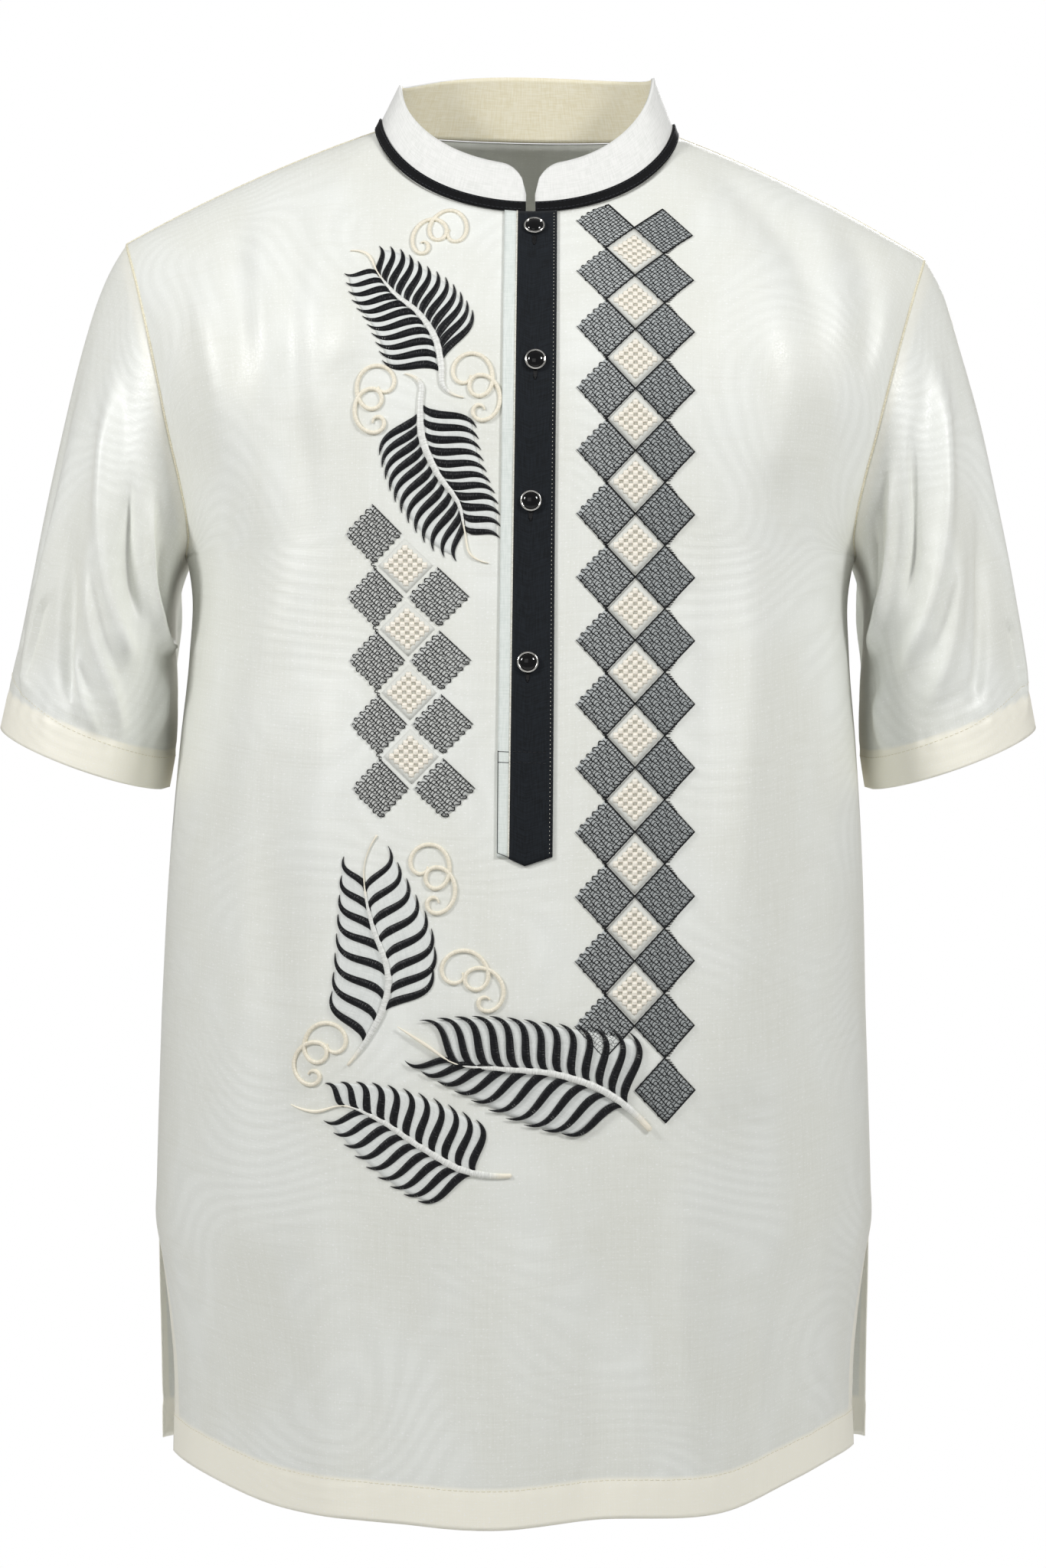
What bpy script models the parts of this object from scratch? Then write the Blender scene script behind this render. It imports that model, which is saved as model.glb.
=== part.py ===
"""Barong tagalog: a worn, short-sleeved shirt with a half placket, as thin cloth pieces.

Tables are in millimetres, the scene is in metres. +X is the wearer's left, -Y the front and
+Z up. The origin is the middle of the neck opening, level with the high shoulder points.
"""

import math

import bpy
import numpy as np
from mathutils import Vector

MM = 0.001
FRONT, BACK = -1, 1

# Cloth, seams and laid-on strips
CLOTH = 1.2
HEM_CLOTH = 2.0
HEM_DEPTH = 22.0
SIDE_GAP = 0.25
SLEEVE_GAP = 0.9
LAID_GAP = 0.3
STRIP = 1.1

# Shoulder line and neckline
NECK_HALF = 86.0
RIDGE_RISE = 15.5
SHOULDER_SLOPE = 0.36
SHOULDER_BEND = 0.00078
SHOULDER_ROUND = 130.0
NECK_DROP = {FRONT: 70.5, BACK: 12.5}
NECK_POWER = {FRONT: 0.62, BACK: 1.2}
ROUND_POWER = {FRONT: 2.2, BACK: 2.6}

# Body below the shoulders
UNDERARM_Z = -245.0
HEM_Z = -776.0
CHEST_POWER = 2.5
HEM_POWER = 2.3

# Stance: the body drifts to the wearer's right going down, and the left shoulder sits lower
SWAY = -7.5
SWAY_FROM = -20.0
SWAY_SPAN = 480.0
TILT = 0.019
TILT_FROM = -200.0
TILT_SPAN = 120.0

# Collar band and its trim
COLLAR_CLOTH = 2.0
COLLAR_SEAM = 0.6
COLLAR_NARROW = 0.849
COLLAR_LEAN = {FRONT: 0.72, BACK: 0.9}
COLLAR_RISE = {FRONT: 30.0, BACK: 38.0}
COLLAR_SIDE_RISE = {"left": 34.0, "right": 27.0}
COLLAR_GAP_X = (-0.1, 5.2)
CORNER_WIDTH = 17.0
CORNER_SHARE = 0.62
TRIM_HEIGHT = 6.0
TRIM_FOOT = 0.9

# Half placket, its facing strip and the slit below it
SLIT_X = 3.0
SLIT_HALF = 0.3
SLIT_ROW = 0.789
PLACKET_ROW = 0.686
PLACKET_TOP_X = (-4.6, 17.3)
PLACKET_END_X = (-3.7, 19.8)
PLACKET_END_Z = -412.5
PLACKET_POINT = 5.0
PLACKET_POINT_SHARE = 0.37
FACING_TOP_X = (-11.9, -5.0)
FACING_END_X = (-10.3, -4.1)

# Buttons: a black dome in a bright ring
DOME_RADIUS = 4.3
DOME_HEIGHT = 2.6
RIM_INNER = 4.6
RIM_OUTER = 5.9
RIM_HEIGHT = 1.7
BUTTON_LIFT = 0.45
BUTTON_STEPS = 20
BUTTONS = (
    # x, z
    (4.8, -64.5),
    (6.5, -141.5),
    (5.2, -219.3),
    (4.9, -307.5),
)

# Level, half width of front and back, depth of front and back
SECTION_COLUMNS = ("z", "front_half", "back_half", "front_depth", "back_depth")
SECTIONS = (
    (20, 250, 250, 58, 100),
    (0, 250, 250, 63, 104),
    (-20, 248.5, 248.5, 70, 109),
    (-53, 245.5, 245.5, 86, 118),
    (-80, 242.5, 242.5, 100, 122),
    (-120, 236, 236, 118, 128),
    (-160, 226, 226, 128.5, 130.5),
    (-200, 209.5, 209.5, 134, 131),
    (-225, 199, 199, 137, 130),
    (-245, 191, 191, 139.5, 129.5),
    (-262, 187.8, 187.8, 142, 128.5),
    (-300, 188.5, 188.5, 147.5, 127),
    (-350, 193, 193, 154.5, 124.5),
    (-420, 198, 198, 162, 122.5),
    (-500, 201, 201, 168, 124.5),
    (-600, 204, 204, 168, 133),
    (-620, 204.5, 204.5, 167, 135),
    (-641, 201, 205, 166, 137),
    (-690, 196, 205.5, 163.5, 139),
    (-776, 197, 206, 158, 142),
    (-800, 197, 206, 157, 143),
)

# How far round the section each panel reaches beside the vents, in degrees
EDGE_COLUMNS = ("z", "front", "back")
EDGES = (
    (-560, 90, 90),
    (-615, 90, 90),
    (-641, 86.5, 88),
    (-700, 80, 84),
    (-800, 76, 80),
)

# Where each panel ends at the armhole
ARMHOLE_COLUMNS = ("z", "front_x", "back_x")
ARMHOLE = (
    (-67, 229, 229),
    (-90, 221, 219),
    (-120, 212, 209),
    (-150, 204, 202),
    (-180, 197, 197),
    (-205, 191, 192),
    (-225, 187.5, 188),
    (-238, 187.7, 188.4),
    (-245, 191, 191),
)

# Lower edges, over the share of the half width from the wearer's right to left
HEM_COLUMNS = ("share", "front_z", "back_z")
HEM = (
    (-1.0, -748, -752),
    (-0.88, -754.5, -758),
    (-0.66, -767, -768),
    (-0.4, -772, -776),
    (-0.1, -776, -780),
    (0.25, -770.5, -780),
    (0.62, -768, -769),
    (0.8, -755, -761),
    (0.9, -748.5, -757),
    (1.0, -745, -751),
)

# Rows of each panel: shares of the way from hem to underarm, then underarm to top edge
HEM_ROW = HEM_DEPTH / (UNDERARM_Z - HEM_Z)
LOWER_ROWS = (
    0.0, HEM_ROW, 0.12, 0.2, 0.255, 0.295, 0.37, 0.45, 0.53, 0.61, PLACKET_ROW, SLIT_ROW, 0.88, 1.0
)
UPPER_ROWS = (
    0.012, 0.045, 0.11, 0.21, 0.33, 0.45, 0.57, 0.68, 0.78, 0.86, 0.92, 0.96, 0.985, 0.997, 1.0
)
SIDE_COLUMNS = 7
NECK_COLUMNS = 16

# The largest folds of the front: path of (x, z), half width, height out of the cloth
FOLDS = (
    (((86, -28), (124, -74), (141, -135), (144, -190)), 17.0, 4.5),
    (((-90, -4), (-104, -60), (-100, -130)), 16.0, 4.0),
    (((128, -560), (140, -690), (139, -776)), 18.0, -5.0),
)

# Sleeve: middle and half axes of the cuff, and how the cloth leaves armhole and cuff
CUFF_MIDDLE = (248.5, 4.0, -357.0)
CUFF_OUT = (48.4, 0.0, 17.6)
CUFF_FORWARD = (0.0, -72.0, -7.2)
CUFF_DIRECTION = (0.2, 0.0, -0.98)
SLEEVE_ROWS = (0.0, 0.09, 0.2, 0.33, 0.46, 0.59, 0.71, 0.82, 0.91, 1.0)
# Quarter: direction out of the armhole, its length, length into the cuff
SLEEVE_QUARTERS = (
    ((0.55, 0.0, -0.83), 60.0, 100.0),
    ((0.45, -0.1, -0.88), 55.0, 60.0),
    ((0.6, 0.0, -0.8), 28.0, 60.0),
    ((0.45, 0.1, -0.88), 55.0, 60.0),
)

WHITE_CLOTH = (0.83, 0.83, 0.78)
CREAM_CLOTH = (0.8, 0.77, 0.66)
MINT_CLOTH = (0.74, 0.8, 0.77)
BLACK_CLOTH = (0.015, 0.015, 0.017)
BLACK_GLOSS = (0.01, 0.01, 0.012)
SILVER = (0.72, 0.72, 0.72)


def look_up(table, columns, name, at):
    """A column of a table at the given places, as a smooth curve through its rows."""
    rows = np.array(sorted(table), float)
    knots = rows[:, 0]
    values = rows[:, columns.index(name)]
    slopes = np.gradient(values, knots)
    at = np.clip(np.asarray(at, float), knots[0], knots[-1])
    i = np.clip(np.searchsorted(knots, at) - 1, 0, len(knots) - 2)
    step = knots[i + 1] - knots[i]
    t = (at - knots[i]) / step
    start = values[i] * (1 + 2 * t) * (1 - t) ** 2 + values[i + 1] * t**2 * (3 - 2 * t)
    return start + step * t * (1 - t) * (slopes[i] * (1 - t) - slopes[i + 1] * t)


def section(side, what, z):
    name = ("front_" if side == FRONT else "back_") + what
    return look_up(SECTIONS, SECTION_COLUMNS, name, z)


def corner_power(z):
    """How square the section is: 2 is an ellipse, more is squarer."""
    share = np.clip((UNDERARM_Z - np.asarray(z, float)) / (UNDERARM_Z - HEM_Z), 0, 1)
    return CHEST_POWER + (HEM_POWER - CHEST_POWER) * share


def neck_share(x):
    return np.clip(1 - (np.asarray(x, float) / NECK_HALF) ** 2, 0, 1)


def ridge(x):
    """Height of the shoulder line, carried over the neck as a low arch."""
    beyond = np.maximum(np.abs(x) - NECK_HALF, 0)
    return RIDGE_RISE * neck_share(x) - SHOULDER_SLOPE * beyond - SHOULDER_BEND * beyond**2


def top_edge(side, x):
    """Upper edge of a panel: its neckline, then the shoulder line."""
    return ridge(x) - NECK_DROP[side] * neck_share(x) ** NECK_POWER[side]


def path_distance(x, z, path):
    """Distance of each point to a path of straight stretches."""
    found = np.full(np.shape(x), np.inf)
    for (x0, z0), (x1, z1) in zip(path[:-1], path[1:]):
        dx, dz = x1 - x0, z1 - z0
        t = np.clip(((x - x0) * dx + (z - z0) * dz) / (dx * dx + dz * dz), 0, 1)
        found = np.minimum(found, np.hypot(x - x0 - t * dx, z - z0 - t * dz))
    return found


def fold_height(x, z):
    """Height of the large folds out of the front."""
    height = np.zeros(np.shape(x))
    for path, half_width, peak in FOLDS:
        height += peak * np.exp(-((path_distance(x, z, path) / half_width) ** 2))
    return height


def cloth_y(side, x, z):
    """Depth of a panel at x and z: a squared ellipse, rounded in under the shoulder line."""
    power = corner_power(z)
    share = np.clip(np.abs(x) / section(side, "half", z), 0, 1)
    around = (1 - share**power) ** (1 / power)
    below = np.clip((ridge(x) - z) / SHOULDER_ROUND, 0, 1)
    over = (1 - (1 - below) ** ROUND_POWER[side]) ** (1 / ROUND_POWER[side])
    depth = section(side, "depth", z) * around * over
    if side == FRONT:
        depth = depth + fold_height(x, z) * around * over
    return side * np.maximum(depth, SIDE_GAP)


def stance(points):
    """The drift of the body to one side, and the tilt of the shoulders."""
    x, z = points[..., 0], points[..., 2]
    raised = np.clip((z - TILT_FROM) / TILT_SPAN, 0, 1)
    moved = points.copy()
    moved[..., 0] = x + SWAY * np.clip((SWAY_FROM - z) / SWAY_SPAN, 0, 1)
    moved[..., 2] = z - TILT * x * raised**2 * (3 - 2 * raised)
    return moved


def neck_columns(side):
    """x of the columns between the high shoulder points, close together near them."""
    x = NECK_HALF * np.sin(np.linspace(-np.pi / 2, np.pi / 2, NECK_COLUMNS + 1))
    if side == BACK:
        return x
    x = x + SLIT_X * neck_share(x)
    middle = NECK_COLUMNS // 2
    return np.concatenate([x[:middle], [SLIT_X - SLIT_HALF, SLIT_X + SLIT_HALF], x[middle + 1 :]])


def round_columns(side, edge_share, half, power):
    """x of a whole row: neck columns, with side columns spaced by angle round the section."""
    first = math.asin((NECK_HALF / half) ** (power / 2))
    last = math.asin(edge_share ** (power / 2))
    angles = np.linspace(first, last, SIDE_COLUMNS + 1)[1:]
    beside = half * np.sin(angles) ** (2 / power)
    return np.concatenate([-beside[::-1], neck_columns(side), beside])


def lower_row(side, share):
    level = HEM_Z + (UNDERARM_Z - HEM_Z) * share
    name = "front" if side == FRONT else "back"
    edge = math.radians(float(look_up(EDGES, EDGE_COLUMNS, name, level)))
    power = float(corner_power(level))
    half = float(section(side, "half", level))
    x = round_columns(side, math.sin(edge) ** (2 / power), half, power)
    hem = look_up(HEM, HEM_COLUMNS, name + "_z", x / half)
    z = hem + (UNDERARM_Z - hem) * share
    x = x * np.where(np.abs(x) > NECK_HALF, section(side, "half", z) / half, 1.0)
    return np.stack([x, cloth_y(side, x, z), z], axis=-1)


def rising_z(side, x, share):
    return UNDERARM_Z + (top_edge(side, x) - UNDERARM_Z) * share


def armhole_x(side, share):
    """x of the panel's edge on a row above the underarm."""
    name = "front_x" if side == FRONT else "back_x"
    x = 200.0
    for _ in range(30):
        x = float(look_up(ARMHOLE, ARMHOLE_COLUMNS, name, rising_z(side, x, share)))
    return x


def upper_row(side, share):
    edge = armhole_x(side, share)
    level = float(rising_z(side, edge, share))
    half = float(section(side, "half", level))
    x = round_columns(side, edge / half, half, float(corner_power(level)))
    z = rising_z(side, x, share)
    return np.stack([x, cloth_y(side, x, z), z], axis=-1)


def panel_points(side):
    rows = [lower_row(side, share) for share in LOWER_ROWS]
    rows += [upper_row(side, share) for share in UPPER_ROWS]
    return np.array(rows)


def outward(points):
    """Unit normals of a grid whose columns run round the body with the outside on the right."""
    across = np.gradient(points, axis=1)
    up = np.gradient(points, axis=0)
    normal = np.cross(across, up)
    return normal / np.linalg.norm(normal, axis=-1, keepdims=True)


def row_points(x_of_row, z_end, columns):
    """Grid on the front's own rows, from z_end up, so that it lies flat on its facets."""
    lower = [share for share in LOWER_ROWS if share >= PLACKET_ROW]
    shares = [("lower", share) for share in lower] + [("upper", share) for share in UPPER_ROWS]
    top_z = float(top_edge(FRONT, SLIT_X))
    rows = []
    for kind, share in shares:
        guess = np.full(len(columns), SLIT_X)
        for _ in range(3):
            if kind == "upper":
                z = rising_z(FRONT, guess, share)
            else:
                half = section(FRONT, "half", UNDERARM_Z)
                hem = look_up(HEM, HEM_COLUMNS, "front_z", guess / half)
                z = hem + (UNDERARM_Z - hem) * share
            drop = np.clip((top_z - z) / (top_z - PLACKET_END_Z), 0, 1)
            guess = x_of_row(drop)
        rows.append(np.stack([guess, z], axis=-1))
    rows = np.array(rows)
    rows[0, :, 1] = z_end
    y = cloth_y(FRONT, rows[..., 0], rows[..., 1])
    return np.stack([rows[..., 0], y, rows[..., 1]], axis=-1)


def strip_points(top_x, end_x, z_end, columns):
    """A strip down the front between the given x at its top and its lower end."""
    shares = np.asarray(columns)

    def x_of_row(drop):
        left = top_x[0] + (end_x[0] - top_x[0]) * drop
        right = top_x[1] + (end_x[1] - top_x[1]) * drop
        return left + (right - left) * shares

    return row_points(x_of_row, z_end, columns)


def laid_on(points, lift):
    return points + outward(points) * lift


def armhole_loop():
    """Armhole of the wearer's left: top, down the front, underarm, up the back."""
    shares = (0.0,) + UPPER_ROWS
    front = [upper_row(FRONT, share)[-1] for share in reversed(shares)]
    back = [upper_row(BACK, share)[-1] for share in shares[1:-1]]
    loop = np.array(front + back)
    loop[0, 1] = 0.0
    loop[len(shares) - 1, 1] = 0.0
    return loop, len(shares) - 1


def loop_angles(loop, under):
    """Angle round the sleeve of each armhole point, by its way along the seam."""
    ways = np.linalg.norm(np.roll(loop, -1, axis=0) - loop, axis=1)
    sums = np.concatenate([[0], np.cumsum(ways)])
    front = np.pi * sums[: under + 1] / sums[under]
    back = np.pi + np.pi * (sums[under + 1 : -1] - sums[under]) / (sums[-1] - sums[under])
    return np.concatenate([front, back])


def quarter_blend(angles, column):
    """A column of SLEEVE_QUARTERS, blended round the sleeve."""
    turned = angles[:, None] - np.arange(4) * np.pi / 2
    weights = np.maximum(np.cos(turned), 0) ** 2
    values = np.array([np.atleast_1d(row[column]) for row in SLEEVE_QUARTERS], float)
    return weights @ values


def sleeve_points():
    """Grid of the wearer's left sleeve: rows from cuff to armhole, columns round the arm."""
    loop, under = armhole_loop()
    angles = loop_angles(loop, under)
    leave = quarter_blend(angles, 0)
    leave /= np.linalg.norm(leave, axis=1, keepdims=True)
    tangent = np.roll(loop, -1, axis=0) - np.roll(loop, 1, axis=0)
    tangent /= np.linalg.norm(tangent, axis=1, keepdims=True)
    away = leave - np.sum(leave * tangent, axis=1, keepdims=True) * tangent
    away /= np.linalg.norm(away, axis=1, keepdims=True)
    start = loop + away * SLEEVE_GAP
    end = (
        np.array(CUFF_MIDDLE)
        + np.cos(angles)[:, None] * np.array(CUFF_OUT)
        + np.sin(angles)[:, None] * np.array(CUFF_FORWARD)
    )
    first = start + leave * quarter_blend(angles, 1)
    last = end - np.array(CUFF_DIRECTION) * quarter_blend(angles, 2)
    rows = []
    for t in reversed(SLEEVE_ROWS):
        rows.append(
            start * (1 - t) ** 3
            + first * 3 * t * (1 - t) ** 2
            + last * 3 * t**2 * (1 - t)
            + end * t**3
        )
    return np.array(rows)


def neck_ring():
    """Neckline from one end of the collar round the back to the other."""
    right, left = COLLAR_GAP_X
    ends = np.array([0.0, 1.0, 3.5, 8.0, CORNER_WIDTH])
    steps = np.radians(np.linspace(0, 90, 8))
    start = math.asin((left + CORNER_WIDTH) / NECK_HALF)
    front_left = NECK_HALF * np.sin(start + (np.pi / 2 - start) * steps[1:] / (np.pi / 2))
    across_back = NECK_HALF * np.cos(np.linspace(0, np.pi, 18))[1:]
    start = math.asin((right - CORNER_WIDTH) / NECK_HALF)
    front_right = NECK_HALF * np.sin(-np.pi / 2 + (start + np.pi / 2) * steps[1:] / (np.pi / 2))
    x = np.concatenate([left + ends, front_left, across_back, front_right, (right - ends)[-2::-1]])
    count = len(ends) + len(front_left)
    sides = np.full(len(x), FRONT)
    sides[count : count + len(across_back) - 1] = BACK
    ring = []
    for at, side in zip(x, sides):
        z = float(top_edge(side, at))
        y = 0.0 if abs(at) > NECK_HALF - 0.01 else float(cloth_y(side, at, z))
        ring.append((at, y, z))
    return np.array(ring), sides


def collar_columns():
    """Foot and head of the collar band at each column, with the rounded front corners."""
    foot, sides = neck_ring()
    share = neck_share(foot[:, 0])
    lean = np.array([COLLAR_LEAN[side] for side in sides])
    middle_rise = np.array([COLLAR_RISE[side] for side in sides])
    head = foot.copy()
    head[:, 0] *= COLLAR_NARROW
    head[:, 1] *= lean
    hand = (1 + foot[:, 0] / NECK_HALF) / 2
    side_rise = COLLAR_SIDE_RISE["right"] * (1 - hand) + COLLAR_SIDE_RISE["left"] * hand
    head[:, 2] += side_rise + (middle_rise - side_rise) * share
    ways = np.concatenate([[0], np.cumsum(np.linalg.norm(np.diff(foot, axis=0), axis=1))])
    from_end = np.minimum(ways, ways[-1] - ways) / CORNER_WIDTH
    lack = 1 - np.sqrt(1 - np.clip(1 - from_end, 0, 1) ** 2)
    return foot, head, 1 - CORNER_SHARE * lack


def collar_points(low, high, rows, by_height):
    """Grid on the collar's outer side, between two distances up from its seam."""
    foot, head, height = collar_columns()
    up = head - foot
    length = np.linalg.norm(up, axis=1, keepdims=True)
    up = up / length
    top = length * height[:, None] if by_height else np.full_like(length, high)
    shares = np.linspace(0, 1, rows)
    return np.array([foot + up * (low + (top - low) * share) for share in shares])


def cloth_material(name, colour, roughness, metallic=0.0):
    material = bpy.data.materials.new(name)
    material.use_nodes = True
    shader = material.node_tree.nodes["Principled BSDF"]
    shader.inputs["Base Color"].default_value = (*colour, 1.0)
    shader.inputs["Roughness"].default_value = roughness
    shader.inputs["Metallic"].default_value = metallic
    material.diffuse_color = (*colour, 1.0)
    return material


def new_object(name, mesh, material, home):
    piece = bpy.data.objects.new(name, mesh)
    mesh.materials.append(material)
    home.objects.link(piece)
    return piece


def grid_mesh(name, points, outside_right=True, closed=False, skip=None):
    """Mesh of a grid in millimetres. skip is (first row, column) of a stretch left open."""
    rows, columns = points.shape[:2]
    number = np.arange(rows * columns).reshape(rows, columns)
    faces = []
    for r in range(rows - 1):
        for c in range(columns if closed else columns - 1):
            if skip and r >= skip[0] and c == skip[1]:
                continue
            d = (c + 1) % columns
            face = [number[r, c], number[r, d], number[r + 1, d], number[r + 1, c]]
            faces.append(face if outside_right else face[::-1])
    mesh = bpy.data.meshes.new(name)
    mesh.from_pydata((points.reshape(-1, 3) * MM).tolist(), [], faces)
    mesh.update()
    mesh.shade_smooth()
    return mesh


def thicken(piece, thickness, hem_vertices=None):
    """Solidify inwards from the outer side. Hem vertices get the turned-up hem's thickness."""
    solid = piece.modifiers.new("Thickness", "SOLIDIFY")
    solid.offset = -1.0
    solid.use_even_offset = False
    solid.thickness = thickness * MM
    if hem_vertices is not None:
        group = piece.vertex_groups.new(name="turned_hem")
        group.add(hem_vertices, 1.0, "REPLACE")
        solid.thickness = HEM_CLOTH * MM
        solid.vertex_group = group.name
        solid.thickness_vertex_group = thickness / HEM_CLOTH


def hem_rows(points, count):
    return list(range(points.shape[1] * count))


def make_panel(name, side, colour, home):
    points = stance(panel_points(side))
    slit = None
    if side == FRONT:
        slit = (LOWER_ROWS.index(SLIT_ROW), SIDE_COLUMNS + NECK_COLUMNS // 2)
    mesh = grid_mesh(name, points, outside_right=side == FRONT, skip=slit)
    piece = new_object(name, mesh, cloth_material(name, colour, 0.6), home)
    thicken(piece, CLOTH, hem_rows(points, 2))


def make_sleeve(name, hand, colour, home):
    points = sleeve_points()
    points[..., 0] *= hand
    mesh = grid_mesh(name, stance(points), outside_right=hand < 0, closed=True)
    piece = new_object(name, mesh, cloth_material(name, colour, 0.6), home)
    thicken(piece, CLOTH, hem_rows(points, 2))


def make_collar(home):
    band = collar_points(COLLAR_SEAM, 0.0, 5, by_height=True)
    mesh = grid_mesh("collar_band", stance(band))
    piece = new_object("collar_band", mesh, cloth_material("collar_band", WHITE_CLOTH, 0.6), home)
    thicken(piece, COLLAR_CLOTH)
    low = COLLAR_SEAM + TRIM_FOOT
    trim = laid_on(collar_points(low, low + TRIM_HEIGHT, 3, by_height=False), LAID_GAP + STRIP)
    mesh = grid_mesh("collar_trim", stance(trim))
    piece = new_object("collar_trim", mesh, cloth_material("collar_trim", BLACK_CLOTH, 0.7), home)
    thicken(piece, STRIP)


def make_strip(name, points, colour, home):
    mesh = grid_mesh(name, stance(laid_on(points, LAID_GAP + STRIP)))
    piece = new_object(name, mesh, cloth_material(name, colour, 0.65), home)
    thicken(piece, STRIP)


def make_placket(home):
    share = PLACKET_POINT_SHARE
    columns = (0.0, share, 0.7, 1.0)
    slope = np.interp(columns, (0.0, share, 1.0), (0.2, 1.0, 0.0))
    end = PLACKET_END_Z - PLACKET_POINT * slope
    strip = strip_points(PLACKET_TOP_X, PLACKET_END_X, end, columns)
    make_strip("placket", strip, BLACK_CLOTH, home)
    facing = strip_points(FACING_TOP_X, FACING_END_X, PLACKET_END_Z, (0.0, 1.0))
    make_strip("placket_facing", facing, MINT_CLOTH, home)


def turned(name, profile, closed, material, home):
    """A profile of (radius, height) in millimetres, turned round Z."""
    count = len(profile)
    edges = [(i, i + 1) for i in range(count - 1)]
    if closed:
        edges.append((count - 1, 0))
    mesh = bpy.data.meshes.new(name)
    mesh.from_pydata([(r * MM, 0.0, z * MM) for r, z in profile], edges, [])
    piece = new_object(name, mesh, material, home)
    screw = piece.modifiers.new("Turn", "SCREW")
    screw.axis = "Z"
    screw.steps = BUTTON_STEPS
    screw.render_steps = BUTTON_STEPS
    screw.use_merge_vertices = True
    screw.merge_threshold = 0.00001
    screw.use_smooth_shade = True
    return piece


def make_button(index, x, z, home):
    """One button, standing on the placket with its axis along the cloth's normal."""
    step = 4.0
    near = np.array([[(x + i * step, z + j * step) for i in (-1, 0, 1)] for j in (-1, 0, 1)])
    y = cloth_y(FRONT, near[..., 0], near[..., 1])
    patch = stance(np.stack([near[..., 0], y, near[..., 1]], axis=-1))
    normal = Vector(outward(patch)[1, 1])
    seat = Vector(patch[1, 1]) + normal * (LAID_GAP + STRIP + BUTTON_LIFT)
    rounds = np.radians(np.linspace(0, 75, 5))
    crown = [(DOME_RADIUS * math.sin(a), DOME_HEIGHT * (0.25 + 0.75 * math.cos(a))) for a in rounds]
    dome = crown + [(DOME_RADIUS, 0.35), (DOME_RADIUS - 0.3, 0.0), (0.0, 0.0)]
    middle = (RIM_INNER + RIM_OUTER) / 2
    rim = [
        (middle, RIM_HEIGHT),
        (RIM_OUTER - 0.1, RIM_HEIGHT * 0.75),
        (RIM_OUTER, RIM_HEIGHT * 0.35),
        (RIM_OUTER - 0.2, 0.0),
        (RIM_INNER + 0.1, 0.0),
        (RIM_INNER, RIM_HEIGHT * 0.6),
    ]
    black = cloth_material(f"button_dome_{index}", BLACK_GLOSS, 0.15)
    silver = cloth_material(f"button_rim_{index}", SILVER, 0.2, 1.0)
    pieces = (
        turned(f"button_dome_{index}", dome, False, black, home),
        turned(f"button_rim_{index}", rim, True, silver, home),
    )
    for piece in pieces:
        piece.location = seat * MM
        piece.rotation_euler = normal.to_track_quat("Z", "Y").to_euler()


def main():
    for thing in list(bpy.data.objects):
        bpy.data.objects.remove(thing, do_unlink=True)
    home = bpy.data.collections.new("barong_tagalog")
    bpy.context.scene.collection.children.link(home)
    make_panel("front_panel", FRONT, WHITE_CLOTH, home)
    make_panel("back_panel", BACK, WHITE_CLOTH, home)
    make_sleeve("sleeve_left", 1, CREAM_CLOTH, home)
    make_sleeve("sleeve_right", -1, CREAM_CLOTH, home)
    make_collar(home)
    make_placket(home)
    for index, (x, z) in enumerate(BUTTONS, start=1):
        make_button(index, x, z, home)


main()
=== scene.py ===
"""Dresses the barong tagalog: organza panels and sleeves, collar, placket, buttons and embroidery.

Lengths are in millimetres until a mesh is made. +X is the wearer's left, -Y the front, +Z up. The
cloth repeats the part's own form: each panel's depth is a function of x and z, the stance is added
last, and what lies on the cloth is worked out from the same function, moved out along its normals.
"""

import math

import bpy
import numpy as np
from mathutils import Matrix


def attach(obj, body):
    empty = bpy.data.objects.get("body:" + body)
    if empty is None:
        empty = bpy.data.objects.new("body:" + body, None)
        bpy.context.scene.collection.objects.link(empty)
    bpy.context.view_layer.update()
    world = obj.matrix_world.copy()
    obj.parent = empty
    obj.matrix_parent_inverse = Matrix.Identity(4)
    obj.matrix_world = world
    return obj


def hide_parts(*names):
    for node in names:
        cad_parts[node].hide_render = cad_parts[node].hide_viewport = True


bl_info = {
    "name": "Barong tagalog shirt",
    "version": (1, 0, 0),
    "blender": (4, 5, 0),
    "location": "View3D > Sidebar > Barong",
    "description": "Makes the cloth, sewing, embroidery and buttons of an embroidered shirt",
    "category": "Object",
}

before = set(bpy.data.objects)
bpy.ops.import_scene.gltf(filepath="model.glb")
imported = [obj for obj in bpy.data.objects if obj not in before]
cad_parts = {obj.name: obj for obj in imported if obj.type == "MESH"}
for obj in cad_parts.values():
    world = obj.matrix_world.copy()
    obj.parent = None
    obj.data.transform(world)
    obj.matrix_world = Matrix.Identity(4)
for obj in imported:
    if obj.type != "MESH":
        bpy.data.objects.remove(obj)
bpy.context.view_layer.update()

MM = 0.001
FRONT, BACK = -1, 1
CAMERA_PLACE = (-0.0022, -2.6, -0.3731)
CAMERA_LENS = 103.9
FLOOR_Z = -1450.0
FLOOR_RADIUS = 3400.0
# Lights: name, place and aim in metres, side of the square, power in watts
LIGHTS = (
    ("key", (-1.7, -1.2, 0.95), (0.0, 0.0, -0.1), 0.5, 30.0),
    ("second", (1.55, -1.4, 1.08), (0.0, 0.0, -0.1), 0.5, 32.0),
    ("front", (-0.5, -3.0, 0.9), (0.0, 0.0, -0.1), 1.2, 3.0),
    ("rear", (0.5, 2.7, 0.7), (0.0, 0.0, -0.3), 0.9, 52.0),
)

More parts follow.
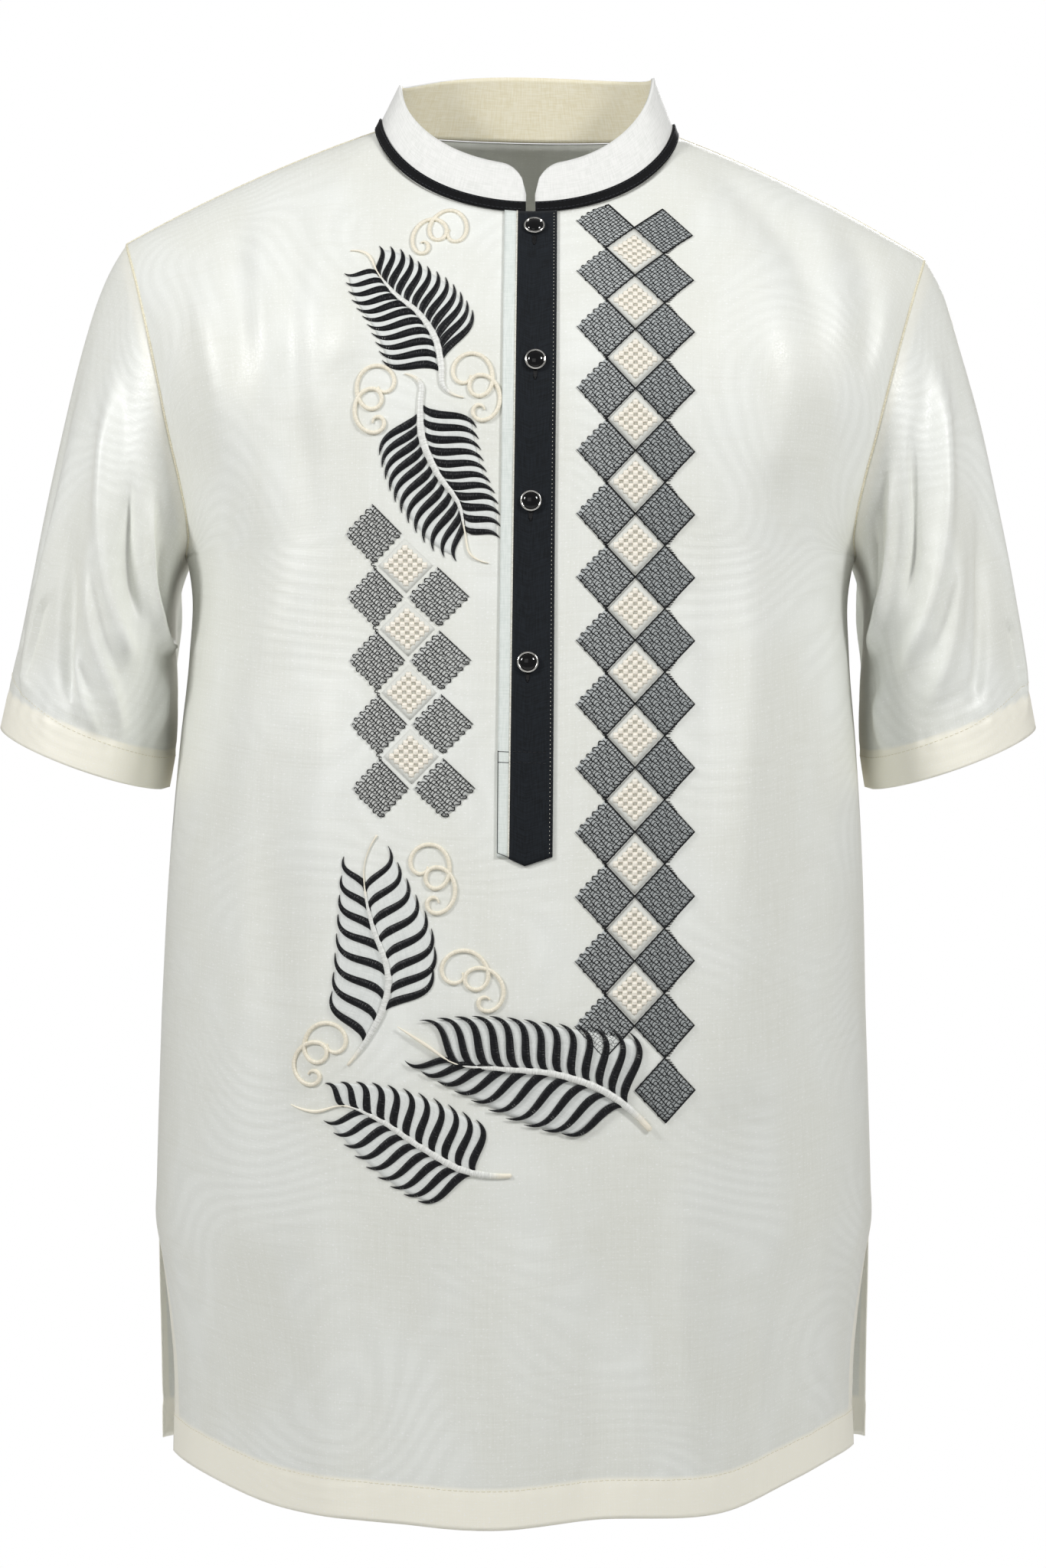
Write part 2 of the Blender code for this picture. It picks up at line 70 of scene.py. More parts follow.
# The part's own sizes and tables
HEM_DEPTH = 22.0
SIDE_GAP = 0.12
SLEEVE_GAP = 0.5
LAID_GAP = 0.3
STRIP = 1.1
STRIP_TOP = LAID_GAP + STRIP
NECK_HALF = 86.0
RIDGE_RISE = 15.5
SHOULDER_SLOPE = 0.36
SHOULDER_BEND = 0.00078
SHOULDER_ROUND = 130.0
NECK_DROP = {FRONT: 70.5, BACK: 12.5}
NECK_POWER = {FRONT: 0.62, BACK: 1.2}
ROUND_POWER = {FRONT: 2.2, BACK: 2.6}
UNDERARM_Z = -245.0
HEM_Z = -776.0
CHEST_POWER = 2.5
HEM_POWER = 2.3
SWAY = -7.5
SWAY_FROM = -20.0
SWAY_SPAN = 480.0
TILT = 0.019
TILT_FROM = -200.0
TILT_SPAN = 120.0
COLLAR_CLOTH = 1.8
COLLAR_SEAM = 0.6
COLLAR_NARROW = 0.849
COLLAR_LEAN = {FRONT: 0.72, BACK: 0.9}
COLLAR_RISE = {FRONT: 30.0, BACK: 38.0}
COLLAR_SIDE_RISE = {"left": 34.0, "right": 27.0}
COLLAR_GAP_X = (-0.1, 5.2)
COLLAR_COLUMNS = 96
CORNER_WIDTH = 17.0
CORNER_SHARE = 0.62
TRIM_HEIGHT = 6.0
TRIM_FOOT = 0.9
TRIM_LAP = 1.1
TRIM_CLEAR = 2.0
SLIT_X = 3.0
SLIT_HALF = 0.3
SLIT_ROW = 0.789
PLACKET_TOP_X = (-4.6, 17.3)
PLACKET_END_X = (-3.7, 19.8)
PLACKET_END_Z = -412.5
PLACKET_POINT = 5.0
PLACKET_POINT_SHARE = 0.37
FACING_TOP_X = (-11.9, -5.0)
FACING_END_X = (-10.3, -4.1)
DOME_RADIUS = 4.7
DOME_HEIGHT = 2.6
RIM_INNER = 4.6
RIM_OUTER = 5.9
RIM_HEIGHT = 1.7
BUTTON_LIFT = 0.45
# Buttons: x, z
BUTTONS = (
    (4.8, -64.5), (6.5, -141.5), (5.2, -219.3), (4.9, -307.5),
)
SECTION_COLUMNS = ("z", "front_half", "back_half", "front_depth", "back_depth")
SECTIONS = (
    (20, 250, 250, 58, 100), (0, 250, 250, 63, 104), (-20, 248.5, 248.5, 70, 109),
    (-53, 245.5, 245.5, 86, 118), (-80, 242.5, 242.5, 100, 122), (-120, 236, 236, 118, 128),
    (-160, 226, 226, 128.5, 130.5), (-200, 209.5, 209.5, 134, 131), (-225, 199, 199, 137, 130),
    (-245, 191, 191, 139.5, 129.5), (-262, 187.8, 187.8, 142, 128.5), (-300, 188.5, 188.5, 147.5, 127),
    (-350, 193, 193, 154.5, 124.5), (-420, 198, 198, 162, 122.5), (-500, 201, 201, 168, 124.5),
    (-600, 204, 204, 168, 133), (-620, 204.5, 204.5, 167, 135), (-641, 201, 205, 166, 137),
    (-690, 196, 205.5, 163.5, 139), (-776, 197, 206, 158, 142), (-800, 197, 206, 157, 143),
)
EDGE_COLUMNS = ("z", "front", "back")
EDGES = (
    (-560, 90, 90), (-615, 90, 90), (-641, 86.5, 88), (-700, 80, 84), (-800, 76, 80),
)
ARMHOLE_COLUMNS = ("z", "front_x", "back_x")
ARMHOLE = (
    (-67, 229, 229), (-90, 221, 219), (-120, 212, 209), (-150, 204, 202), (-180, 197, 197),
    (-205, 191, 192), (-225, 187.5, 188), (-238, 187.7, 188.4), (-245, 191, 191),
)
HEM_COLUMNS = ("share", "front_z", "back_z")
HEM = (
    (-1.0, -748, -752), (-0.88, -754.5, -758), (-0.66, -767, -768), (-0.4, -772, -776), (-0.1, -776, -780),
    (0.25, -770.5, -780), (0.62, -768, -769), (0.8, -755, -761), (0.9, -748.5, -757), (1.0, -745, -751),
)
CUFF_MIDDLE = (248.5, 4.0, -357.0)
CUFF_OUT = (48.4, 0.0, 17.6)
CUFF_FORWARD = (0.0, -72.0, -7.2)
CUFF_DIRECTION = (0.2, 0.0, -0.98)
# Quarter: direction out of the armhole, its length, length into the cuff
SLEEVE_QUARTERS = (
    ((0.55, 0.0, -0.83), 60.0, 100.0),
    ((0.45, -0.1, -0.88), 55.0, 60.0),
    ((0.6, 0.0, -0.8), 28.0, 60.0),
    ((0.45, 0.1, -0.88), 55.0, 60.0),
)

# Soft folds: path of (x, z), half width towards each side of the path, height out of the
# cloth, and the shares of the path over which the fold rises and fades
FRONT_FOLDS = (
    (((86, -28), (124, -74), (141, -135), (144, -190)), 17.0, 17.0, 4.5, 0.0, 0.0),
    (((-90, -4), (-104, -60), (-100, -130)), 16.0, 16.0, 4.0, 0.0, 0.0),
    (((128, -560), (140, -690), (139, -776)), 18.0, 18.0, -5.0, 0.0, 0.0),
    (((103, -14), (119, -35), (142, -60), (158, -90), (163, -135)), 8.0, 10.0, -5.6, 0.2, 0.5),
    (((145, -37), (168, -57), (172, -83), (175, -140)), 9.0, 10.0, 4.5, 0.3, 0.5),
    (((177, -50), (189, -70), (193, -110), (188, -165)), 8.0, 8.0, -4.2, 0.2, 0.4),
    (((205, -85), (200, -120), (192, -160)), 6.0, 8.0, 3.1, 0.3, 0.5),
    (((-83, -3), (-92, -33), (-101, -65), (-108, -115), (-106, -165)), 6.0, 9.0, -4.5, 0.2, 0.5),
    (((-126, -50), (-134, -95), (-131, -150), (-122, -200), (-121, -262)), 13.0, 12.0, -6.0, 0.3, 0.4),
    (((-150, -38), (-146, -80), (-140, -130), (-138, -180)), 9.0, 9.0, 4.5, 0.2, 0.5),
    (((-165, -60), (-161, -85), (-158, -115), (-150, -165)), 7.0, 8.0, -4.2, 0.2, 0.5),
    (((-186, -80), (-180, -110), (-170, -160), (-160, -215)), 8.0, 9.0, 3.5, 0.3, 0.5),
    (((-112, -225), (-138, -285), (-155, -335), (-160, -420)), 12.0, 15.0, 6.0, 0.4, 0.5),
    (((-176, -205), (-179, -245), (-184, -300), (-186, -400)), 10.0, 8.0, -5.2, 0.3, 0.5),
    (((-128, -330), (-134, -400), (-131, -500), (-138, -600)), 14.0, 14.0, -4.5, 0.4, 0.5),
    (((-100, -300), (-103, -380), (-112, -470)), 12.0, 12.0, 3.1, 0.4, 0.4),
    (((-160, -430), (-163, -540), (-158, -650), (-163, -760)), 13.0, 16.0, 3.9, 0.4, 0.3),
    (((-188, -650), (-180, -678), (-171, -697), (-168, -716)), 3.4, 6.0, -3.5, 0.3, 0.4),
    (((-181, -655), (-172, -680), (-163, -702)), 5.0, 5.0, 2.1, 0.4, 0.5),
    (((-98, -560), (-104, -650), (-96, -776)), 16.0, 16.0, 3.5, 0.5, 0.0),
    (((-52, -600), (-48, -690), (-56, -776)), 14.0, 18.0, -3.5, 0.5, 0.0),
    (((-2, -560), (4, -660), (-2, -776)), 18.0, 18.0, 3.1, 0.5, 0.0),
    (((40, -590), (47, -680), (40, -776)), 14.0, 14.0, -2.8, 0.5, 0.0),
    (((88, -560), (92, -650), (98, -712), (116, -746)), 9.0, 9.0, 2.8, 0.5, 0.2),
    (((126, -640), (133, -700), (130, -730)), 4.0, 7.0, -3.9, 0.5, 0.3),
    (((160, -570), (168, -650), (166, -700), (160, -750)), 9.0, 9.0, 5.2, 0.4, 0.2),
    (((184, -590), (187, -650), (181, -712)), 7.0, 7.0, -4.2, 0.4, 0.3),
    (((118, -200), (130, -290), (126, -400), (134, -520)), 16.0, 18.0, 3.9, 0.4, 0.5),
    (((152, -190), (160, -270), (156, -360), (163, -470)), 13.0, 13.0, -3.9, 0.4, 0.5),
    (((176, -215), (181, -300), (177, -420), (182, -560)), 10.0, 10.0, 3.1, 0.4, 0.5),
    (((104, -210), (106, -300), (111, -420)), 10.0, 12.0, -2.8, 0.5, 0.5),
    (((30, -120), (27, -220), (31, -330)), 7.0, 9.0, 1.6, 0.4, 0.5),
    (((-26, -70), (-22, -200), (-25, -330), (-21, -460)), 8.0, 8.0, 1.6, 0.4, 0.5),
)
BACK_FOLDS = (
    (((-120, -40), (-136, -110), (-128, -200), (-112, -300)), 14.0, 18.0, 5.5, 0.3, 0.5),
    (((-84, -70), (-92, -160), (-80, -280)), 12.0, 12.0, -4.1, 0.4, 0.5),
    (((118, -44), (130, -120), (120, -220), (96, -330)), 16.0, 13.0, 5.2, 0.3, 0.5),
    (((166, -70), (172, -130), (160, -210)), 10.0, 10.0, -4.1, 0.3, 0.5),
    (((-172, -76), (-170, -140), (-160, -220)), 9.0, 11.0, -3.9, 0.3, 0.5),
    (((-40, -30), (-36, -120), (-48, -250)), 18.0, 16.0, 2.5, 0.3, 0.5),
    (((52, -40), (44, -150), (58, -270)), 16.0, 20.0, 2.5, 0.3, 0.5),
    (((0, -26), (4, -100), (-3, -190)), 14.0, 14.0, -2.5, 0.2, 0.6),
    (((-150, -330), (-138, -460), (-148, -600), (-144, -776)), 16.0, 18.0, 5.8, 0.4, 0.0),
    (((-96, -360), (-104, -500), (-94, -640), (-100, -776)), 18.0, 16.0, -5.5, 0.4, 0.0),
    (((-50, -300), (-44, -460), (-52, -620), (-46, -776)), 18.0, 20.0, 4.5, 0.4, 0.0),
    (((0, -330), (6, -480), (-2, -640), (3, -776)), 20.0, 18.0, -4.1, 0.4, 0.0),
    (((52, -350), (46, -500), (58, -650), (52, -776)), 16.0, 18.0, 4.8, 0.4, 0.0),
    (((102, -380), (110, -520), (98, -650), (106, -776)), 16.0, 16.0, -5.5, 0.4, 0.0),
    (((150, -340), (144, -480), (154, -620), (150, -776)), 16.0, 14.0, 5.5, 0.4, 0.0),
    (((182, -420), (178, -560), (186, -680)), 10.0, 10.0, -3.2, 0.4, 0.4),
    (((-184, -400), (-180, -540), (-187, -690)), 10.0, 10.0, -3.2, 0.4, 0.4),
)
# The same for the sleeves, with paths of (degrees from the top round the front, share to the cuff)
SLEEVE_FOLDS = {
    "right": (
        (((52, 0.14), (66, 0.3), (84, 0.46), (126, 0.63)), 9.0, 12.0, 9.2, 0.2, 0.3),
        (((84, 0.2), (98, 0.36), (122, 0.5)), 7.0, 8.0, -6.7, 0.3, 0.4),
        (((104, 0.1), (112, 0.22), (126, 0.37), (166, 0.46)), 4.5, 7.0, 7.1, 0.2, 0.2),
        (((124, 0.12), (132, 0.24), (150, 0.34)), 5.0, 6.0, -5.0, 0.3, 0.3),
        (((66, 0.42), (82, 0.6), (106, 0.76), (122, 0.9)), 6.5, 8.0, 7.4, 0.3, 0.3),
        (((52, 0.5), (64, 0.66), (84, 0.84)), 7.0, 7.0, -6.0, 0.3, 0.3),
        (((70, 0.68), (84, 0.78), (106, 0.9)), 4.0, 5.0, 4.3, 0.3, 0.4),
        (((34, 0.2), (36, 0.45), (48, 0.72)), 8.0, 8.0, 4.7, 0.3, 0.4),
        (((16, 0.12), (14, 0.4), (24, 0.75)), 9.0, 9.0, -4.3, 0.3, 0.4),
        (((140, 0.56), (148, 0.7), (140, 0.86)), 8.0, 8.0, 4.3, 0.4, 0.4),
        (((-40, 0.12), (-56, 0.4), (-92, 0.66)), 10.0, 10.0, 6.7, 0.3, 0.4),
        (((-76, 0.14), (-100, 0.4), (-132, 0.6)), 9.0, 9.0, -5.8, 0.3, 0.4),
        (((-112, 0.16), (-134, 0.4), (-150, 0.72)), 9.0, 9.0, 5.4, 0.3, 0.4),
        (((-30, 0.5), (-48, 0.74), (-70, 0.94)), 8.0, 8.0, -4.7, 0.3, 0.3),
    ),
    "left": (
        (((40, 0.1), (56, 0.28), (80, 0.46), (128, 0.66)), 10.0, 12.0, 7.7, 0.2, 0.3),
        (((74, 0.14), (92, 0.32), (118, 0.48)), 7.0, 8.0, -6.0, 0.3, 0.4),
        (((98, 0.08), (112, 0.22), (134, 0.4), (160, 0.56)), 5.5, 7.0, 6.7, 0.2, 0.3),
        (((122, 0.1), (134, 0.2), (152, 0.34)), 5.0, 5.0, -5.0, 0.3, 0.3),
        (((60, 0.44), (78, 0.62), (110, 0.82)), 8.0, 9.0, 5.8, 0.3, 0.4),
        (((38, 0.48), (52, 0.66), (80, 0.86)), 7.0, 7.0, -5.0, 0.3, 0.3),
        (((22, 0.16), (24, 0.45), (36, 0.8)), 9.0, 9.0, 4.7, 0.3, 0.4),
        (((130, 0.62), (142, 0.76), (130, 0.92)), 7.0, 7.0, 4.1, 0.4, 0.3),
        (((4, 0.1), (-2, 0.4), (8, 0.75)), 9.0, 9.0, -4.1, 0.3, 0.4),
        (((-44, 0.12), (-60, 0.4), (-96, 0.66)), 10.0, 10.0, 6.7, 0.3, 0.4),
        (((-80, 0.14), (-104, 0.4), (-136, 0.6)), 9.0, 9.0, -5.8, 0.3, 0.4),
        (((-116, 0.16), (-138, 0.4), (-152, 0.72)), 9.0, 9.0, 5.4, 0.3, 0.4),
        (((-34, 0.5), (-52, 0.74), (-74, 0.94)), 8.0, 8.0, -4.7, 0.3, 0.3),
    ),
}
# Counts of a panel's grid: columns beside the neck and over it, then rows of the hem, up to the
# underarm and above it
PANEL_COUNTS = {FRONT: (58, 96, 14, 112, 84), BACK: (48, 72, 12, 92, 68)}
# Millimetres for each degree round a sleeve, and for its whole length
SLEEVE_DEGREE = 1.05
SLEEVE_LENGTH = 250.0
# Leaves, from tip to stalk: the rachis as (x, z, half width), and each side's barbs as the curve of
# their tips, their count, where on the rachis the first and the last one start, and their S shape:
# how far they swing off their chords, and where along them they cross it
LEAVES = (
    (
        (
            (-96.9, -79.4, 0.15), (-87.5, -81.5, 0.75), (-81.3, -92.5, 0.4), (-72.3, -103.8, 1.15),
            (-57.4, -116.3, 1.5), (-48.2, -130.4, 1.7), (-45.0, -144.9, 1.6), (-43.6, -156.0, 1.1),
            (-32.3, -162.3, 0.3),
        ),
        (
            (
                ((-99.7, -92.9), (-94.2, -109.9), (-87.2, -120.3), (-81.7, -131.0), (-77.4, -141.8)), 11,
                ((-81.6, -93.1), (-46.0, -147.8)), 1.5, 0.5,
            ),
            (
                ((-81.0, -76.4), (-71.3, -77.3), (-59.1, -85.3), (-43.5, -94.8), (-28.6, -113.3)), 12,
                ((-79.3, -93.7), (-45.0, -142.6)), 1.35, 0.35,
            ),
        ),
        0.0,
    ),
    (
        (
            (-17.3, -253.2, 0.15), (-26.4, -249.2, 0.5), (-30.6, -234.7, 0.45), (-33.3, -222.4, 1.0),
            (-46.6, -202.8, 1.6), (-54.9, -183.2, 1.9), (-56.0, -165.2, 1.5), (-56.2, -154.3, 1.2),
            (-65.0, -149.2, 0.2),
        ),
        (
            (
                ((-11.6, -239.5), (-12.7, -220.3), (-18.3, -205.8), (-22.3, -191.7), (-25.0, -179.0)), 11,
                ((-30.6, -233.3), (-55.9, -166.0)), 1.4, 0.45,
            ),
            (
                ((-34.8, -252.1), (-44.3, -248.4), (-58.6, -234.2), (-70.0, -216.8), (-77.8, -193.5)), 12,
                ((-32.1, -229.7), (-55.9, -170.5)), 1.25, 0.26,
            ),
        ),
        0.0,
    ),
    (
        (
            (-75.2, -401.0, 0.5), (-81.8, -418.6, 0.2), (-81.2, -429.1, 0.45), (-76.3, -450.7, 1.2),
            (-68.6, -471.5, 1.5), (-67.3, -479.5, 1.6), (-69.1, -490.7, 1.6), (-77.8, -509.3, 1.3),
            (-89.2, -524.7, 0.5),
        ),
        (
            (
                ((-92.9, -412.2), (-95.6, -443.3), (-96.8, -466.2), (-97.9, -485.1)), 8,
                ((-81.3, -430.7), (-79.9, -512.5)), 1.9, 0.36,
            ),
            (
                ((-69.0, -406.5), (-56.2, -428.3), (-47.2, -444.5), (-43.1, -458.5), (-43.8, -470.9)), 8,
                ((-81.0, -431.1), (-69.6, -497.0)), 1.9, 0.22,
            ),
        ),
        0.0,
    ),
    (
        (
            (-62.0, -503.7, 0.15), (-47.0, -513.3, 0.8), (-32.0, -523.0, 0.4), (-7.8, -526.1, 1.2),
            (24.8, -529.5, 1.6), (48.1, -538.0, 1.8), (73.4, -559.2, 1.3),
        ),
        (
            (
                ((-50.3, -500.3), (-14.5, -497.8), (19.0, -501.3), (61.7, -506.3)), 13,
                ((-27.4, -523.6), (60.8, -547.0)), 1.9, 0.3,
            ),
            (
                ((-58.1, -521.8), (-27.8, -540.0), (0.6, -554.4), (25.9, -560.6)), 10,
                ((-31.1, -523.5), (60.0, -546.6)), 1.7, 0.42,
            ),
        ),
        0.9,
    ),
    (
        (
            (-120.3, -546.8, 0.15), (-108.3, -550.2, 0.7), (-91.4, -546.7, 0.35), (-73.6, -553.2, 1.1),
            (-49.4, -568.5, 1.5), (-25.3, -581.2, 1.6), (-1.2, -583.5, 0.9),
        ),
        (
            (
                ((-101.7, -534.8), (-78.0, -533.8), (-46.0, -540.8), (-19.8, -553.5)), 11,
                ((-91.0, -546.6), (-20.9, -582.6)), 1.8, 0.32,
            ),
            (
                ((-102.3, -554.9), (-87.8, -571.1), (-67.5, -588.7), (-51.2, -597.4)), 9,
                ((-79.2, -551.0), (-20.5, -582.6)), 1.6, 0.42,
            ),
        ),
        0.0,
    ),
)
BARB_HALF = 2.3
# Curls: a cord whose radius of turn follows its turning angle, from the open loop's inner end
CURL_RADII = (
    (0, 2.6), (90, 3.2), (180, 5.4), (260, 8.0), (320, 8.2), (360, 11.0), (400, 6.5), (430, 4.8),
    (540, 4.2), (620, 4.6), (670, 8.0), (720, 10.0), (770, 8.0), (830, 4.2), (900, 3.0), (990, 2.3),
    (1080, 1.8),
)
CURL_COLUMNS = ("x", "z", "width", "height", "turn", "mirrored")
CURLS = (
    (-47.7, -67.7, 30.0, 26.5, 50.0, True),
    (-25.5, -156.4, 26.0, 37.0, -8.0, False),
    (-81.2, -163.1, 21.5, 36.5, -8.0, True),
    (-44.5, -424.3, 24.5, 37.0, -3.0, False),
    (-22.1, -479.0, 33.5, 32.5, -28.0, False),
    (-104.4, -519.0, 28.5, 33.5, 15.0, True),
)
# Lattices of diamonds: two columns beside a line of corners, which is given by its first corner, its
# drift across for each diamond down, and the pitch along the cloth. Then how far each column's middles
# lie from the line, how much of its place a diamond fills, and how far the first rows lean
LATTICE_COLUMNS = ("x", "drift", "z", "pitch", "left_offset", "right_offset", "fill", "lean")
LATTICES = {
    "right": (60.3, 0.377, -62.7, 34.9, -16.1, 16.2, 1.0, 0.11),
    "left": (-64.0, 1.65, -236.9, 35.0, -16.6, 18.0, 0.94, 0.0),
}
# Steps down of the dark diamonds in the left and right columns, and of the light ones between them
LATTICE_STEPS = {
    "right": (range(0, 14), range(0, 15), range(0, 13)),
    "left": (range(0, 5), range(1, 5), range(0, 4)),
}
# Half widths of a dark diamond's edge threads: lower left, lower right, upper right, upper left
EDGE_THREADS = {
    "right": ((0.2, 0.42, 0.36, 0.0), (0.28, 0.45, 0.22, 0.42)),
    "left": ((0.0, 0.0, 0.22, 0.0), (0.0, 0.0, 0.22, 0.0)),
}
# Heights of the embroidery's parts over the cloth
BARB_LIFT = 0.35
BACKING_LIFT = 0.28
STEM_LIFT = 0.55
CORD_LIFT = 0.35
MEANDER_LIFT = 0.42
NET_LIFT = 0.3
LIGHT_LIFT = 0.24
EDGE_LIFT = 0.55
LACE_LIFT = 0.3
LATTICE_TOP = -24.0
LEAN_STEPS = 1.6
MEANDER_ROWS = 10
MEANDER_WAVES = 6
MEANDER_SWAY = 0.024
MEANDER_HALF = 0.452
MEANDER_LOOP = 0.062
MEANDER_RISE = 0.052
THREAD_HALF = 0.3
# Millimetres of map that go round a thread, and a stitch's heights from end to end
THREAD_ROUND = 4.0
STITCH_HEIGHTS = (-0.15, 0.12, 0.12, -0.15)
LIGHT_SHARE = 0.94
PAD_REACH = 4
PILLOW_STEP = (2.6, 2.4)
PILLOW_HALF = (0.56, 0.69)
# Stitched lines on the placket and its facing: heights of the two cross seams, then the outline's left
# side and foot
CROSS_SEAMS = (-355.7, -361.5)
FACING_OUTLINE = (-10.5, -410.3)


def smooth_step(share):
    share = np.clip(share, 0, 1)
    return share * share * (3 - 2 * share)


def cubic_piece(values, slopes, i, step, t):
    """Values at the share t of the i-th step of a cubic curve, from its knots' values and slopes."""
    start = values[i] * (1 + 2 * t) * (1 - t) ** 2 + values[i + 1] * t**2 * (3 - 2 * t)
    return start + step * t * (1 - t) * (slopes[i] * (1 - t) - slopes[i + 1] * t)


def look_up(table, columns, name, at):
    """A column of a table at the given places, as a smooth curve through its rows."""
    rows = np.array(sorted(table), float)
    knots = rows[:, 0]
    values = rows[:, columns.index(name)]
    slopes = np.gradient(values, knots)
    at = np.clip(np.asarray(at, float), knots[0], knots[-1])
    i = np.clip(np.searchsorted(knots, at) - 1, 0, len(knots) - 2)
    step = knots[i + 1] - knots[i]
    t = (at - knots[i]) / step
    return cubic_piece(values, slopes, i, step, t)


def path_ways(points):
    """Distance of each point of a line from its first one."""
    return np.concatenate([[0], np.cumsum(np.linalg.norm(np.diff(points, axis=0), axis=1))])


def smooth_path(points, count):
    """A smooth curve through given points: cubic pieces whose slopes come from the neighbours."""
    points = np.asarray(points, float)
    ways = path_ways(points)
    slopes = np.gradient(points, ways, axis=0, edge_order=2 if len(points) > 2 else 1)
    at = np.linspace(0, ways[-1], count)
    i = np.clip(np.searchsorted(ways, at) - 1, 0, len(ways) - 2)
    step = (ways[i + 1] - ways[i])[:, None]
    t = (at[:, None] - ways[i][:, None]) / step
    return cubic_piece(points, slopes, i, step, t)


def fold_field(across, along, folds, scale=(1.0, 1.0)):
    """Sum of soft folds at each point.

    A fold is a bell across its path, exp(-(distance / half width) ** 2), with its own half width on
    each side, times its height, which rises from 0 at the path's start and fades to 0 at its end."""
    height = np.zeros(np.broadcast(across, along).shape)
    u, v = across * scale[0], along * scale[1]
    for path, left, right, peak, rise, fade in folds:
        line = smooth_path(path, 14) * np.array(scale)
        reach = 3.2 * max(left, right)
        low, high = line.min(axis=0) - reach, line.max(axis=0) + reach
        near = (u > low[0]) & (u < high[0]) & (v > low[1]) & (v < high[1])
        a, b = u[near][:, None], v[near][:, None]
        step = np.diff(line, axis=0)
        length2 = (step**2).sum(axis=1)
        t = np.clip(((a - line[:-1, 0]) * step[:, 0] + (b - line[:-1, 1]) * step[:, 1]) / length2, 0, 1)
        off_a, off_b = a - line[:-1, 0] - t * step[:, 0], b - line[:-1, 1] - t * step[:, 1]
        gap = np.hypot(off_a, off_b)
        nearest = gap.argmin(axis=1)
        pick = np.arange(len(nearest)), nearest
        side = step[nearest, 0] * off_b[pick] - step[nearest, 1] * off_a[pick]
        width = left + (right - left) * smooth_step(0.5 + side / np.sqrt(length2[nearest]) / (left + right))
        way = (nearest + t[pick]) / len(step)
        strength = smooth_step(way / max(rise, 1e-6)) if rise else 1.0
        strength = strength * (smooth_step((1 - way) / fade) if fade else 1.0)
        height[near] += peak * strength * np.exp(-((gap[pick] / width) ** 2))
    return height


def soft_waver(x, z):
    """Slow unevenness of hanging cloth: a few long waves across and down, under a millimetre."""
    wave = np.sin(x / 31 + 1.3 * np.sin(z / 140)) * np.sin(z / 210 + 0.8)
    wave = wave + 0.6 * np.sin(x / 17 + z / 260 + 2.1) + 0.5 * np.sin(z / 47 + x / 90)
    return 0.34 * wave


def section(side, what, z):
    name = ("front_" if side == FRONT else "back_") + what
    return look_up(SECTIONS, SECTION_COLUMNS, name, z)


def corner_power(z):
    """How square the section is: 2 is an ellipse, more is squarer."""
    share = np.clip((UNDERARM_Z - np.asarray(z, float)) / (UNDERARM_Z - HEM_Z), 0, 1)
    return CHEST_POWER + (HEM_POWER - CHEST_POWER) * share


def neck_share(x):
    return np.clip(1 - (np.asarray(x, float) / NECK_HALF) ** 2, 0, 1)


def ridge(x):
    """Height of the shoulder line, carried over the neck as a low arch."""
    beyond = np.maximum(np.abs(x) - NECK_HALF, 0)
    return RIDGE_RISE * neck_share(x) - SHOULDER_SLOPE * beyond - SHOULDER_BEND * beyond**2


def top_edge(side, x):
    """Upper edge of a panel: its neckline, then the shoulder line."""
    return ridge(x) - NECK_DROP[side] * neck_share(x) ** NECK_POWER[side]


def cloth_y(side, x, z):
    """Depth of a panel: a squared ellipse rounded in under the shoulder line, plus its folds."""
    x, z = np.broadcast_arrays(np.asarray(x, float), np.asarray(z, float))
    power = corner_power(z)
    share = np.clip(np.abs(x) / section(side, "half", z), 0, 1)
    around = (1 - share**power) ** (1 / power)
    below = np.clip((ridge(x) - z) / SHOULDER_ROUND, 0, 1)
    over = (1 - (1 - below) ** ROUND_POWER[side]) ** (1 / ROUND_POWER[side])
    folds = fold_field(x, z, FRONT_FOLDS if side == FRONT else BACK_FOLDS) + soft_waver(x, z)
    return side * np.maximum((section(side, "depth", z) + folds) * around * over, SIDE_GAP)


def stance(points):
    """The drift of the body to one side, and the tilt of the shoulders."""
    x, z = points[..., 0], points[..., 2]
    moved = points.copy()
    moved[..., 0] = x + SWAY * np.clip((SWAY_FROM - z) / SWAY_SPAN, 0, 1)
    moved[..., 2] = z - TILT * x * smooth_step((z - TILT_FROM) / TILT_SPAN)
    return moved


def unit(vectors):
    return vectors / np.maximum(np.linalg.norm(vectors, axis=-1, keepdims=True), 1e-9)


def outward(points, closed=False):
    """Unit normals of a grid whose columns run round with the outside on the right."""
    if closed:
        across = np.roll(points, -1, axis=1) - np.roll(points, 1, axis=1)
    else:
        across = np.gradient(points, axis=1)
    return unit(np.cross(across, np.gradient(points, axis=0)))


def front_points(x, z, lift=0.0):
    """Points on the front moved out by lift, and the outward normals, which lean by its slopes."""
    step = 1.5
    x, z = np.asarray(x, float), np.asarray(z, float)
    slope_x = (cloth_y(FRONT, x + step, z) - cloth_y(FRONT, x - step, z)) / (2 * step)
    slope_z = (cloth_y(FRONT, x, z + step) - cloth_y(FRONT, x, z - step)) / (2 * step)
    normal = unit(np.stack([slope_x, -np.ones_like(slope_x), slope_z], axis=-1))
    points = np.stack([x, cloth_y(FRONT, x, z), z], axis=-1)
    return stance(points + normal * np.broadcast_to(lift, x.shape)[..., None]), normal


